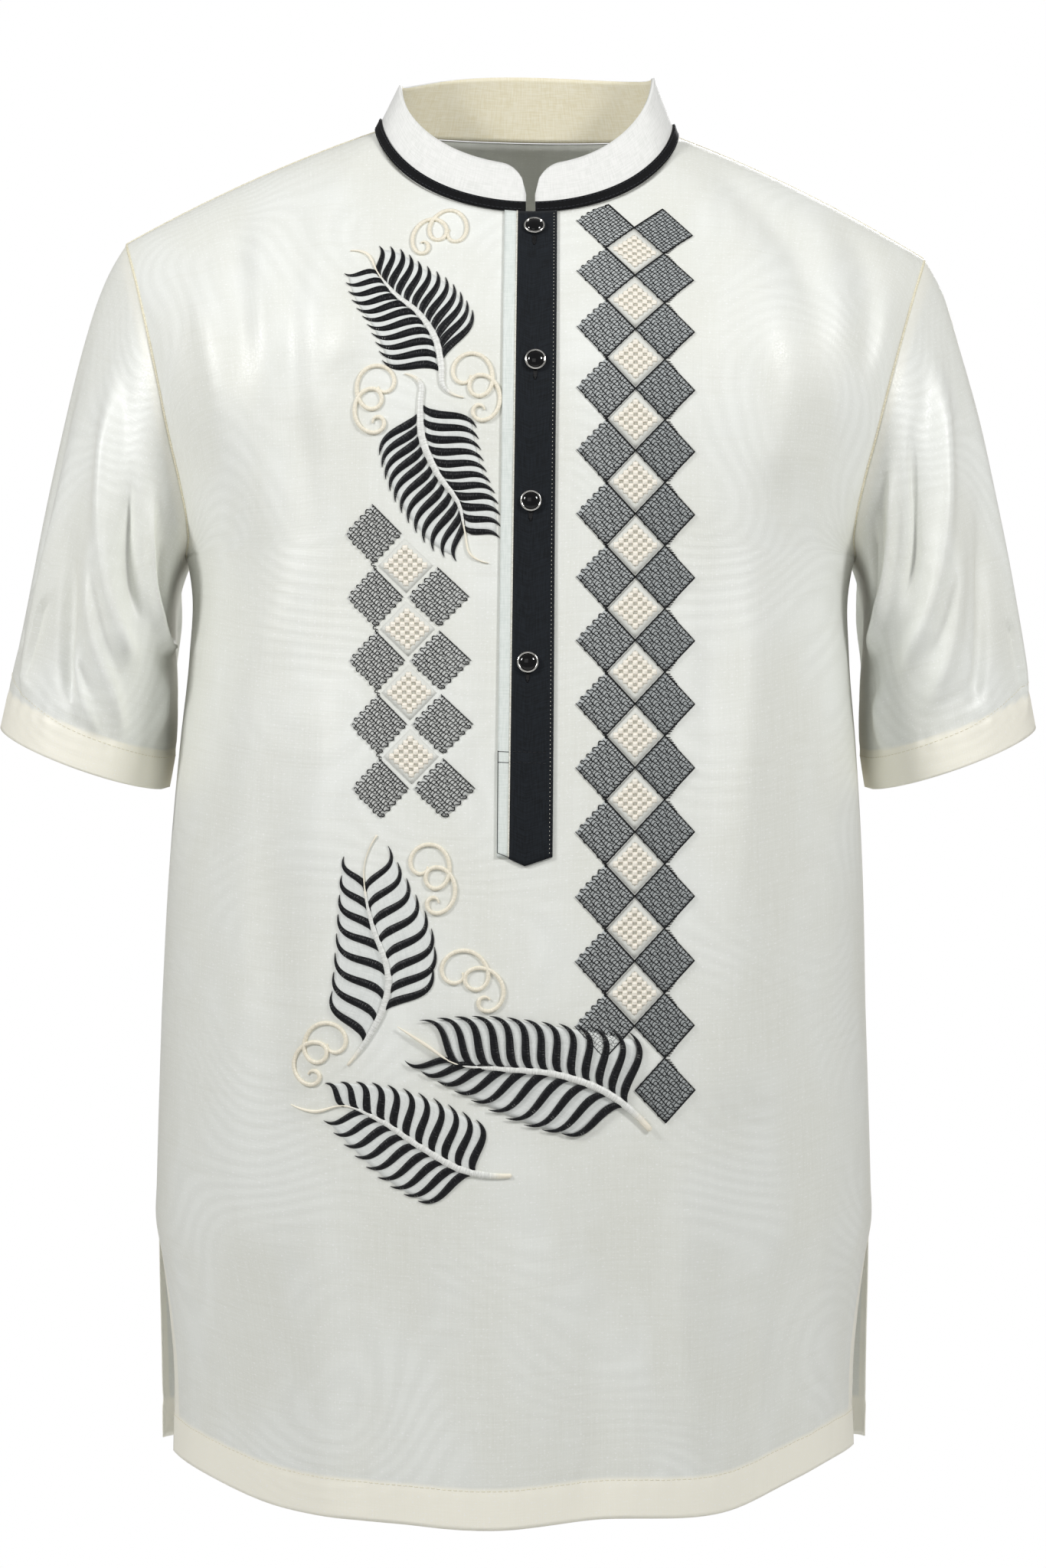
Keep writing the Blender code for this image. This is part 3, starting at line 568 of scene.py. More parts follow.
def panel_columns(side, first, last, half, power, beside_count, neck_count):
    """x of whole rows: columns over the neck, with side columns spaced by angle round the section."""
    neck = NECK_HALF * np.sin(np.linspace(-np.pi / 2, np.pi / 2, neck_count + 1))
    if side == FRONT:
        neck = neck + SLIT_X * neck_share(neck)
        middle = neck_count // 2
        slit = [SLIT_X - SLIT_HALF, SLIT_X + SLIT_HALF]
        neck = np.concatenate([neck[:middle], slit, neck[middle + 1 :]])
    angles = first + (last - first) * np.linspace(0, 1, beside_count + 1)[1:]
    beside = half * np.sin(angles) ** (2 / power)
    middle_part = np.broadcast_to(neck, (len(beside), len(neck)))
    return np.concatenate([-beside[:, ::-1], middle_part, beside], axis=1)


def rising_z(side, x, share):
    return UNDERARM_Z + (top_edge(side, x) - UNDERARM_Z) * share


def armhole_x(side, share):
    """x of the panel's edge on each row above the underarm, found by repeated look-up."""
    name = "front_x" if side == FRONT else "back_x"
    x = np.full(np.shape(share), 200.0)
    for _ in range(30):
        x = look_up(ARMHOLE, ARMHOLE_COLUMNS, name, rising_z(side, x, share))
    return x


def panel_points(side, lower, upper, beside_count, neck_count):
    """Grid of a panel: rows at the given shares from hem to underarm, then to the top edge."""
    name = "front" if side == FRONT else "back"
    share = np.asarray(lower)[:, None]
    level = HEM_Z + (UNDERARM_Z - HEM_Z) * share
    power, half = corner_power(level), section(side, "half", level)
    first = np.arcsin((NECK_HALF / half) ** (power / 2))
    last = np.radians(look_up(EDGES, EDGE_COLUMNS, name, level))
    x = panel_columns(side, first, last, half, power, beside_count, neck_count)
    hem = look_up(HEM, HEM_COLUMNS, name + "_z", x / half)
    z = hem + (UNDERARM_Z - hem) * share
    x = x * (1 + (section(side, "half", z) / half - 1) * smooth_step((np.abs(x) - NECK_HALF) / 60))
    low = np.stack([x, cloth_y(side, x, z), z], axis=-1)

    share = np.asarray(upper)[:, None]
    edge = armhole_x(side, share)
    level = rising_z(side, edge, share)
    power, half = corner_power(level), section(side, "half", level)
    first = np.arcsin((NECK_HALF / half) ** (power / 2))
    last = np.arcsin(np.clip(edge / half, 0, 1) ** (power / 2))
    x = panel_columns(side, first, last, half, power, beside_count, neck_count)
    z = rising_z(side, x, share)
    high = np.stack([x, cloth_y(side, x, z), z], axis=-1)
    return np.concatenate([low, high])


def strip_points(top_x, end_x, end_z, across, rows):
    """Grid of a strip down the front: x between its two sides, z from end_z up to the neckline."""
    across = np.asarray(across)[None, :]
    rise = np.linspace(0, 1, rows)[:, None]
    top_z = float(top_edge(FRONT, SLIT_X))
    x = np.full((rows, across.shape[1]), SLIT_X)
    for _ in range(4):
        z = end_z + (top_edge(FRONT, x) - end_z) * rise
        drop = np.clip((top_z - z) / (top_z - PLACKET_END_Z), 0, 1)
        left = top_x[0] + (end_x[0] - top_x[0]) * drop
        right = top_x[1] + (end_x[1] - top_x[1]) * drop
        x = left + (right - left) * across
    return x, z


def armhole_loop(steps):
    """Armhole of the wearer's left: top, down the front, underarm, up the back."""
    shares = np.linspace(1, 0, steps + 1)

    def edge(side, share):
        x = armhole_x(side, share)
        z = rising_z(side, x, share)
        return np.stack([x, cloth_y(side, x, z), z], axis=-1)

    loop = np.concatenate([edge(FRONT, shares), edge(BACK, shares[-2:0:-1])])
    loop[0, 1] = 0.0
    loop[steps, 1] = 0.0
    return loop


def loop_angles(loop, under):
    """Angle round the sleeve of each armhole point, by its way along the seam."""
    ways = np.linalg.norm(np.roll(loop, -1, axis=0) - loop, axis=1)
    sums = np.concatenate([[0], np.cumsum(ways)])
    front = np.pi * sums[: under + 1] / sums[under]
    back = np.pi + np.pi * (sums[under + 1 : -1] - sums[under]) / (sums[-1] - sums[under])
    return np.concatenate([front, back])


def quarter_blend(angles, column):
    """A column of SLEEVE_QUARTERS, blended round the sleeve."""
    turned = angles[:, None] - np.arange(4) * np.pi / 2
    weights = np.maximum(np.cos(turned), 0) ** 2
    values = np.array([np.atleast_1d(row[column]) for row in SLEEVE_QUARTERS], float)
    return weights @ values


def sleeve_points(hand, steps, rows):
    """Grid of a sleeve, rows from cuff to armhole and columns round the arm, with its own folds.

    Each column is a cubic curve that leaves the armhole and enters the cuff in set directions. The
    folds then move it along its normals, and fade out at both ends."""
    loop = armhole_loop(steps)
    angles = loop_angles(loop, steps)
    leave = unit(quarter_blend(angles, 0))
    tangent = unit(np.roll(loop, -1, axis=0) - np.roll(loop, 1, axis=0))
    away = unit(leave - np.sum(leave * tangent, axis=1, keepdims=True) * tangent)
    start = loop + away * SLEEVE_GAP
    end = (
        np.array(CUFF_MIDDLE)
        + np.cos(angles)[:, None] * np.array(CUFF_OUT)
        + np.sin(angles)[:, None] * np.array(CUFF_FORWARD)
    )
    first = start + leave * quarter_blend(angles, 1)
    last = end - np.array(CUFF_DIRECTION) * quarter_blend(angles, 2)
    t = np.asarray(rows)[::-1, None, None]
    grid = start * (1 - t) ** 3 + first * 3 * t * (1 - t) ** 2 + last * 3 * t**2 * (1 - t) + end * t**3
    degrees = np.degrees((angles + np.pi) % (2 * np.pi) - np.pi)[None, :]
    share = t[:, :, 0]
    degrees, share = np.broadcast_arrays(degrees, share)
    folds = fold_field(degrees, share, SLEEVE_FOLDS[hand], (SLEEVE_DEGREE, SLEEVE_LENGTH))
    folds += 0.4 * np.sin(np.radians(degrees) * 7 + share * 5) * np.sin(share * 9 + 1)
    fade = smooth_step(share / 0.12) * smooth_step((1 - share) / 0.14)
    return grid - outward(grid, closed=True) * (folds * fade)[..., None], angles


def neck_ring(count):
    """Neckline from one end of the collar round the back to the other, and the panel of each point."""
    right, left = COLLAR_GAP_X
    front = count // 2
    ease = np.linspace(0, 1, front + 1)
    start = math.asin(left / NECK_HALF)
    across_left = NECK_HALF * np.sin(start + (np.pi / 2 - start) * ease)
    across_back = NECK_HALF * np.cos(np.linspace(0, np.pi, count + 1))[1:]
    start = math.asin(right / NECK_HALF)
    across_right = NECK_HALF * np.sin(-np.pi / 2 + (start + np.pi / 2) * ease[1:])
    x = np.concatenate([across_left, across_back, across_right])
    sides = np.full(len(x), FRONT)
    sides[len(across_left) : len(across_left) + count] = BACK
    z = np.where(sides == FRONT, top_edge(FRONT, x), top_edge(BACK, x))
    y = np.where(sides == FRONT, cloth_y(FRONT, x, z), cloth_y(BACK, x, z))
    y = np.where(np.abs(x) > NECK_HALF - 0.01, 0.0, y)
    return np.stack([x, y, z], axis=-1), sides


def collar_columns(count):
    """Foot and head of the collar band at each column, with the rounded front corners."""
    foot, sides = neck_ring(count)
    share = neck_share(foot[:, 0])
    head = foot.copy()
    head[:, 0] *= COLLAR_NARROW
    head[:, 1] *= np.where(sides == FRONT, COLLAR_LEAN[FRONT], COLLAR_LEAN[BACK])
    hand = (1 + foot[:, 0] / NECK_HALF) / 2
    side_rise = COLLAR_SIDE_RISE["right"] * (1 - hand) + COLLAR_SIDE_RISE["left"] * hand
    middle_rise = np.where(sides == FRONT, COLLAR_RISE[FRONT], COLLAR_RISE[BACK])
    head[:, 2] += side_rise + (middle_rise - side_rise) * share
    ways = path_ways(foot)
    from_end = np.minimum(ways, ways[-1] - ways) / CORNER_WIDTH
    lack = 1 - np.sqrt(1 - np.clip(1 - from_end, 0, 1) ** 2)
    return foot, head, 1 - CORNER_SHARE * lack


def collar_points(low, high, rows, by_height):
    """Grid on the collar's outer side, between two distances up from its seam."""
    foot, head, height = collar_columns(COLLAR_COLUMNS)
    up = head - foot
    length = np.linalg.norm(up, axis=1, keepdims=True)
    up = up / length
    top = length * height[:, None] if by_height else np.full_like(length, high)
    shares = np.linspace(0, 1, rows)[:, None, None]
    return foot + up * (low + (top - low) * shares)


def trim_points():
    """Grid on the outer side of the trim, and its normals."""
    low = COLLAR_SEAM + TRIM_FOOT
    trim = collar_points(low - TRIM_LAP, low + TRIM_HEIGHT, 7, by_height=False)
    normals = outward(trim)
    return stance(trim + normals * STRIP_TOP), normals


def barb_paths(rachis, tips, count, ends, swing, crossing, steps):
    """Centre lines (x, z) of one side's barbs, from root to tip.

    Roots are spread evenly over a stretch of the rachis, and tips along their own curve. A barb is its
    chord plus an S towards the leaf's tip of chord length * swing * s (1 - s) (crossing - s)."""
    line = smooth_path(rachis, 400)
    first, last = (np.linalg.norm(line - np.array(end), axis=1).argmin() for end in ends)
    at = np.linspace(first, last, count)
    whole = np.arange(len(line))
    root = np.stack([np.interp(at, whole, line[:, k]) for k in range(2)], axis=1)
    to_tip = line[np.maximum(at.astype(int) - 12, 0)] - line[at.astype(int)]
    chord = smooth_path(tips, count) - root
    square = np.stack([-chord[:, 1], chord[:, 0]], axis=1)
    square *= np.sign(np.sum(square * to_tip, axis=1, keepdims=True))
    s = np.linspace(0, 1, steps)[None, :, None]
    return root[:, None] + chord[:, None] * s + square[:, None] * swing * s * (1 - s) * (crossing - s)


def barb_share(steps):
    """Share of a barb's full width along it: a blunt root, full by a third, and a drawn-out tip."""
    s = np.linspace(0, 1, steps)
    return np.minimum(0.5 + 2.0 * s, 1) * np.clip(1 - s**3, 0.02, 1) ** 0.85


def curl_path(width, height, turn, mirrored, count):
    """A curl's cord (x, z) about its middle, fitted to its own width and height.

    Its heading turns evenly with the turning angle, and each step's length is its radius there. It is
    then mirrored or not, turned, and stretched to fit."""
    angle = np.linspace(0, CURL_RADII[-1][0], count)
    radius = look_up(CURL_RADII, ("angle", "radius"), "radius", angle)
    heading = np.radians(-90 - angle)
    path = np.cumsum(np.stack([np.cos(heading), np.sin(heading)], axis=1) * radius[:, None], axis=0)
    if mirrored:
        path[:, 0] *= -1
    a = -math.radians(turn)
    path = path @ np.array([[math.cos(a), math.sin(a)], [-math.sin(a), math.cos(a)]])
    low, high = path.min(axis=0), path.max(axis=0)
    return (path - (low + high) / 2) * np.array([width, height]) / (high - low)


def lattice_value(lattice, name):
    return lattice[LATTICE_COLUMNS.index(name)]


def lattice_points(lattice, steps_down, across, lift):
    """Points of a lattice on the front: how many diamonds down from the first corner, measured along
    the cloth, and how far across from the line of corners, in millimetres."""
    x0, drift, z0, pitch = lattice[:4]
    z = np.linspace(LATTICE_TOP, HEM_Z, 1800)
    y = cloth_y(FRONT, np.full_like(z, x0), z)
    ways = path_ways(np.stack([z, y], axis=1))
    place_z = np.interp(np.interp(-z0, -z, ways) + steps_down * pitch, ways, z)
    lean = lattice_value(lattice, "lean") * np.exp(-np.maximum(steps_down, 0) / LEAN_STEPS)
    x = x0 + drift * steps_down + across
    place_z = np.minimum(place_z - lean * across, top_edge(FRONT, x) - TRIM_FOOT - TRIM_CLEAR)
    return front_points(x, place_z, lift)


def diamond_points(lattice, centres, half, u, v, lift):
    """Points of diamonds: u runs down a lower left side to the right and v up a lower right side, each
    from -0.5 to 0.5. centres are rows of (diamonds down, millimetres across), and half a half width."""
    fill = lattice_value(lattice, "fill")
    spots = np.asarray(centres, float).reshape((-1, 2) + (1,) * np.ndim(u))
    down = spots[:, 0] + (u - v) * fill / 2
    return lattice_points(lattice, down, spots[:, 1] + (u + v) * half * fill, lift)


def meander(per_wave):
    """The filling of a dark diamond as one thread in (u, v).

    Rows are u = line - sway * sin(2 w), v = row + rise * sin(w), run to and fro and joined by loops. A
    slow second wave, different on each row, keeps them from being even."""
    w = np.linspace(0, 2 * np.pi * MEANDER_WAVES, per_wave * MEANDER_WAVES + 1)
    base = np.linspace(-MEANDER_HALF, MEANDER_HALF, len(w))
    loop = np.linspace(0, 1, 7)[1:-1]
    u, v = [], []
    for j in range(MEANDER_ROWS):
        middle = -0.5 + (j + 0.5) / MEANDER_ROWS
        forward = j % 2 == 0
        slow = np.sin(0.37 * w + 2.4 * j)
        u_row = base - MEANDER_SWAY * (1 + 0.3 * slow) * np.sin(2 * w) + 0.008 * slow
        v_row = middle + MEANDER_RISE * (1 - 0.25 * slow) * np.sin(w + 0.4 * slow) + 0.006 * slow
        u.append(u_row if forward else u_row[::-1])
        v.append(v_row if forward else v_row[::-1])
        if j < MEANDER_ROWS - 1:
            u.append((MEANDER_HALF + MEANDER_LOOP * np.sin(np.pi * loop) ** 0.6) * (1 if forward else -1))
            v.append(middle + loop / MEANDER_ROWS)
    return np.concatenate(u), np.concatenate(v)


def linear(code):
    """An sRGB hex colour as the linear values that Blender's sockets take."""
    parts = [int(code[i : i + 2], 16) / 255 for i in (1, 3, 5)]
    return tuple(p / 12.92 if p <= 0.04045 else ((p + 0.055) / 1.055) ** 2.4 for p in parts)


def ways_along(points, axis):
    """Distance of each grid point from its row's or column's first one."""
    steps = np.linalg.norm(np.diff(points, axis=axis), axis=-1)
    return np.cumsum(np.insert(steps, 0, 0.0, axis=axis), axis=axis)


def mesh_from(name, points, quads, triangles=(), uv=None):
    """Mesh in metres from arrays in millimetres. uv gives each face corner's place on its map."""
    mesh = bpy.data.meshes.new(name)
    quads = np.asarray(quads, np.int32).reshape(-1, 4)
    triangles = np.asarray(triangles, np.int32).reshape(-1, 3)
    corners = np.concatenate([quads.ravel(), triangles.ravel()])
    sizes = np.concatenate([np.full(len(quads), 4), np.full(len(triangles), 3)])
    mesh.vertices.add(len(points))
    mesh.vertices.foreach_set("co", (np.asarray(points) * MM).astype(np.float32).ravel())
    mesh.loops.add(len(corners))
    mesh.loops.foreach_set("vertex_index", corners)
    mesh.polygons.add(len(sizes))
    mesh.polygons.foreach_set("loop_start", np.concatenate([[0], np.cumsum(sizes)[:-1]]).astype(np.int32))
    mesh.update(calc_edges=True)
    if uv is not None:
        layer = mesh.uv_layers.new(name="cloth")
        layer.uv.foreach_set("vector", (np.asarray(uv) * MM).astype(np.float32).ravel())
    mesh.shade_smooth()
    return mesh


def add_field(mesh, name, values):
    """Keeps a value of each vertex as an attribute that the finish reads."""
    layer = mesh.attributes.new(name, "FLOAT", "POINT")
    layer.data.foreach_set("value", np.asarray(values, np.float32).ravel())


def add_piece(name, mesh, finish):
    """A shown piece that rides with the shirt and takes the given finish."""
    piece = bpy.data.objects.new(name, mesh)
    bpy.context.scene.collection.objects.link(piece)
    mesh.materials.append(finish)
    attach(piece, "root")
    return piece


def grid_corners(rows, columns, flip, closed, skip=None):
    """Corner numbers of a grid's faces, as (row, column) pairs. skip is (first row, column)."""
    r, c = np.meshgrid(np.arange(rows - 1), np.arange(columns if closed else columns - 1), indexing="ij")
    r, c = r.ravel(), c.ravel()
    if skip:
        keep = ~((r >= skip[0]) & (c == skip[1]))
        r, c = r[keep], c[keep]
    row = np.stack([r, r, r + 1, r + 1], axis=1)
    column = np.stack([c, c + 1, c + 1, c], axis=1)
    if flip:
        row, column = row[:, ::-1], column[:, ::-1]
    return row, column


def cloth_mesh(name, points, flip=False, closed=False, skip=None, fields=None):
    """Mesh of a cloth grid. Its map runs in millimetres along the rows and up the columns.

    fields are named values of each vertex, kept as attributes for the finish."""
    rows, columns = points.shape[:2]
    wide = np.concatenate([points, points[:, :1]], axis=1) if closed else points
    across = np.linalg.norm(np.diff(wide, axis=1), axis=-1).mean(axis=0)
    u = np.concatenate([[0], np.cumsum(across)])
    up = np.linalg.norm(np.diff(wide, axis=0), axis=-1)
    v = np.concatenate([np.zeros((1, wide.shape[1])), np.cumsum(up, axis=0)])
    row, column = grid_corners(rows, columns, flip, closed, skip)
    quads = row * columns + column % columns
    uv = np.stack([u[column] - u[-1] / 2, v[row, column]], axis=-1)
    mesh = mesh_from(name, points.reshape(-1, 3), quads, uv=uv.reshape(-1, 2))
    for field, values in (fields or {}).items():
        add_field(mesh, field, values)
    return mesh


def thicken(piece, thickness, inner_slot=0):
    """Solidify inwards from the outer side."""
    solid = piece.modifiers.new("Thickness", "SOLIDIFY")
    solid.offset = -1.0
    solid.use_even_offset = False
    solid.thickness = thickness * MM
    solid.material_offset = inner_slot


def thread_mesh(name, paths, normals, half_widths, half_heights, ring=6, fields=None):
    """Closed threads in one mesh: an oval is carried along each path, and shrinks to a point at its ends.

    A point at angle a is path + side * half_width * cos(a) + normal * half_height * sin(a), where
    side is square to the path and the cloth's normal. The map runs round and along each thread.
    fields are named values of each path point, kept as attributes for the finish."""
    paths = np.asarray(paths, float)
    count, steps = paths.shape[:2]
    along = unit(np.gradient(paths, axis=1))
    lift = unit(np.asarray(normals) - np.sum(normals * along, axis=-1, keepdims=True) * along)
    side = np.cross(lift, along)
    width = np.broadcast_to(np.asarray(half_widths, float), (count, steps))[..., None, None]
    height = np.broadcast_to(np.asarray(half_heights, float), (count, steps))[..., None, None]
    angle = np.pi / 2 + np.linspace(0, 2 * np.pi, ring, endpoint=False)[:, None]
    oval = side[:, :, None] * width * np.cos(angle) + lift[:, :, None] * height * np.sin(angle)
    body = paths[:, :, None] + oval
    ends = paths[:, [0, -1]] + along[:, [0, -1]] * np.array([-0.5, 0.5])[:, None] * width[:, [0, -1], 0]
    points = np.concatenate([body.reshape(-1, 3), ends.reshape(-1, 3)])
    n, s, a = np.meshgrid(np.arange(count), np.arange(steps - 1), np.arange(ring), indexing="ij")
    here, there = (n * steps + s) * ring, (n * steps + s + 1) * ring
    b = (a + 1) % ring
    quads = np.stack([here + a, here + b, there + b, there + a], axis=-1).reshape(-1, 4)
    way = ways_along(paths, 1)
    u = np.stack([a, a + 1, a + 1, a], axis=-1) * THREAD_ROUND / ring
    v = way[n[..., None], np.stack([s, s, s + 1, s + 1], axis=-1)]
    quad_uv = np.stack([u, v], axis=-1).reshape(-1, 2)
    n, a = np.meshgrid(np.arange(count), np.arange(ring), indexing="ij")
    b = (a + 1) % ring
    first, last = n * steps * ring, (n * steps + steps - 1) * ring
    pole = count * steps * ring + 2 * n
    start_cap = np.stack([pole, first + b, first + a], axis=-1).reshape(-1, 3)
    end_cap = np.stack([pole + 1, last + a, last + b], axis=-1).reshape(-1, 3)
    cap_uv = np.zeros((len(start_cap) * 6, 2))
    cap_uv[:, 1] = np.concatenate([np.zeros(len(start_cap) * 3), np.repeat(way[:, -1], ring * 3)])
    triangles = np.concatenate([start_cap, end_cap])
    mesh = mesh_from(name, points, quads, triangles, np.concatenate([quad_uv, cap_uv]))
    for field, values in (fields or {}).items():
        values = np.broadcast_to(np.asarray(values, float), (count, steps))
        whole = np.concatenate([np.repeat(values, ring), values[:, [0, -1]].ravel()])
        add_field(mesh, field, whole)
    return mesh


def patch_mesh(name, points, fields=None):
    """Several small sheets in one mesh, as grids of the same size. Their map is in millimetres, each from
    its own corner. fields are named values of each point, kept as attributes for the finish."""
    count, rows, columns = points.shape[:3]
    row, column = grid_corners(rows, columns, False, False)
    inside = row * columns + column
    quads = (np.arange(count)[:, None, None] * rows * columns + inside).reshape(-1, 4)
    along = np.linalg.norm(np.diff(points, axis=2), axis=-1)
    up = np.linalg.norm(np.diff(points, axis=1), axis=-1)
    u = np.concatenate([np.zeros((count, rows, 1)), np.cumsum(along, axis=2)], axis=2)
    v = np.concatenate([np.zeros((count, 1, columns)), np.cumsum(up, axis=1)], axis=1)
    uv = np.stack([u, v], axis=-1).reshape(-1, 2)[quads.ravel()]
    mesh = mesh_from(name, points.reshape(-1, 3), quads, uv=uv)
    for field, values in (fields or {}).items():
        add_field(mesh, field, np.broadcast_to(values, (count, rows, columns)))
    return mesh


def joined(rows, join=np.concatenate):
    """The rows' first parts joined into one array, then their second parts, and so on."""
    return [join(parts) for parts in zip(*rows)]


def turned_mesh(name, profile, steps, seat, normal):
    """A profile of (radius, height) turned round the normal from the seat. A profile that starts and ends
    at radius 0 is closed at its poles, and any other is a closed ring."""
    profile = np.asarray(profile, float)
    up = unit(np.asarray(normal, float))
    side = unit(np.cross(up, (0.0, 0.0, 1.0)))
    other = np.cross(up, side)
    angle = np.linspace(0, 2 * np.pi, steps, endpoint=False)
    spoke = np.cos(angle)[:, None] * side + np.sin(angle)[:, None] * other
    points = seat + profile[:, None, :1] * spoke + profile[:, None, 1:] * up
    has_poles = profile[0, 0] == 0
    rings = points[1:-1] if has_poles else points
    count = len(rings)
    row, column = grid_corners(count if has_poles else count + 1, steps, True, True)
    quads = (row % count) * steps + column % steps
    spots = rings.reshape(-1, 3)
    triangles = ()
    if has_poles:
        around = np.arange(steps)
        after = (around + 1) % steps
        first, last = len(spots), len(spots) + 1
        spots = np.concatenate([spots, points[:1, 0], points[-1:, 0]])
        lowest = (count - 1) * steps
        top = np.stack([np.full(steps, first), around, after], axis=1)
        bottom = np.stack([np.full(steps, last), lowest + after, lowest + around], axis=1)
        triangles = np.concatenate([top, bottom])
    return mesh_from(name, spots, quads, triangles)


def stitch_mesh(name, lines, length, gap, half_width):
    """Running stitches along lines of (points, normals): each is a short thread that dips at both ends."""
    paths, normals = [], []
    for points, outer in lines:
        ways = path_ways(points)
        starts = np.arange(gap, ways[-1] - length - gap, length + gap)
        at = starts[:, None] + length * np.array([0.0, 0.2, 0.8, 1.0])
        spots = np.stack([np.interp(at, ways, points[:, k]) for k in range(3)], axis=-1)
        faces = np.stack([np.interp(at, ways, outer[:, k]) for k in range(3)], axis=-1)
        height = np.array(STITCH_HEIGHTS)[:, None]
        paths.append(spots + faces * height)
        normals.append(faces)
    return thread_mesh(name, np.concatenate(paths), np.concatenate(normals), half_width, half_width, ring=4)


def add_threads(name, paths, normals, half_widths, half_heights, finish, slot, **more):
    """A piece made of threads."""
    mesh = thread_mesh(name, paths, normals, half_widths, half_heights, **more)
    return add_piece(name, mesh, finish)


def add_stitches(name, lines, length, gap, half_width, finish):
    """A piece made of running stitches."""
    return add_piece(name, stitch_mesh(name, lines, length, gap, half_width), finish)


def add_node(tree, kind, inputs=None, **settings):
    """Adds a shader node, with its settings, and its inputs as values or other nodes' outputs."""
    made = tree.nodes.new("ShaderNode" + kind)
    for name, value in settings.items():
        setattr(made, name, value)
    for name, value in (inputs or {}).items():
        if isinstance(value, bpy.types.NodeSocket):
            tree.links.new(value, made.inputs[name])
        else:
            made.inputs[name].default_value = value
    return made


def new_finish(name, roughness, metallic=0.0, **more):
    """An empty finish: its material, node tree and main shader, with constants on the shader's sockets."""
    finish = bpy.data.materials.new(name)
    finish.use_nodes = True
    shader = finish.node_tree.nodes["Principled BSDF"]
    shader.inputs["Roughness"].default_value = roughness
    shader.inputs["Metallic"].default_value = metallic
    for socket, value in more.items():
        shader.inputs[socket.replace("_", " ")].default_value = value
    return finish, finish.node_tree, shader


def map_mm(tree, scale):
    """The piece's own map in millimetres, divided by the given lengths."""
    place = add_node(tree, "UVMap", uv_map="cloth").outputs["UV"]
    size = (1 / MM / scale[0], 1 / MM / scale[1], 1.0)
    return add_node(tree, "Mapping", {"Vector": place, "Scale": size}).outputs["Vector"]


def noise(tree, size, detail):
    """Soft random spots of the given size across and along, in millimetres."""
    inputs = {"Vector": map_mm(tree, size), "Scale": 1.0, "Detail": detail}
    return add_node(tree, "TexNoise", inputs).outputs["Fac"]


def sum_of(tree, first, second):
    return add_node(tree, "Math", {0: first, 1: second}, operation="ADD").outputs[0]


def relief(tree, height, strength, depth, **more):
    """A bump of the given depth in millimetres."""
    inputs = {"Height": height, "Strength": strength, "Distance": depth * MM, **more}
    return add_node(tree, "Bump", inputs).outputs[0]


def blend_colours(tree, share, first, second):
    """Two colours mixed by a share."""
    inputs = {"Factor": share, "A": first, "B": second}
    mix = tree.nodes.new("ShaderNodeMix")
    mix.data_type = "RGBA"
    sockets = {"Factor": mix.inputs[0], "A": mix.inputs[6], "B": mix.inputs[7]}
    for name, value in inputs.items():
        if isinstance(value, bpy.types.NodeSocket):
            tree.links.new(value, sockets[name])
        else:
            sockets[name].default_value = value if name == "Factor" else (*value[:3], 1.0)
    return mix.outputs[2]


def spread(tree, value, low, high, to_low=0.0, to_high=1.0):
    """A value's range spread onto another, smoothly."""
    inputs = {"Value": value, "From Min": low, "From Max": high, "To Min": to_low, "To Max": to_high}
    return add_node(tree, "MapRange", inputs, interpolation_type="SMOOTHSTEP").outputs["Result"]


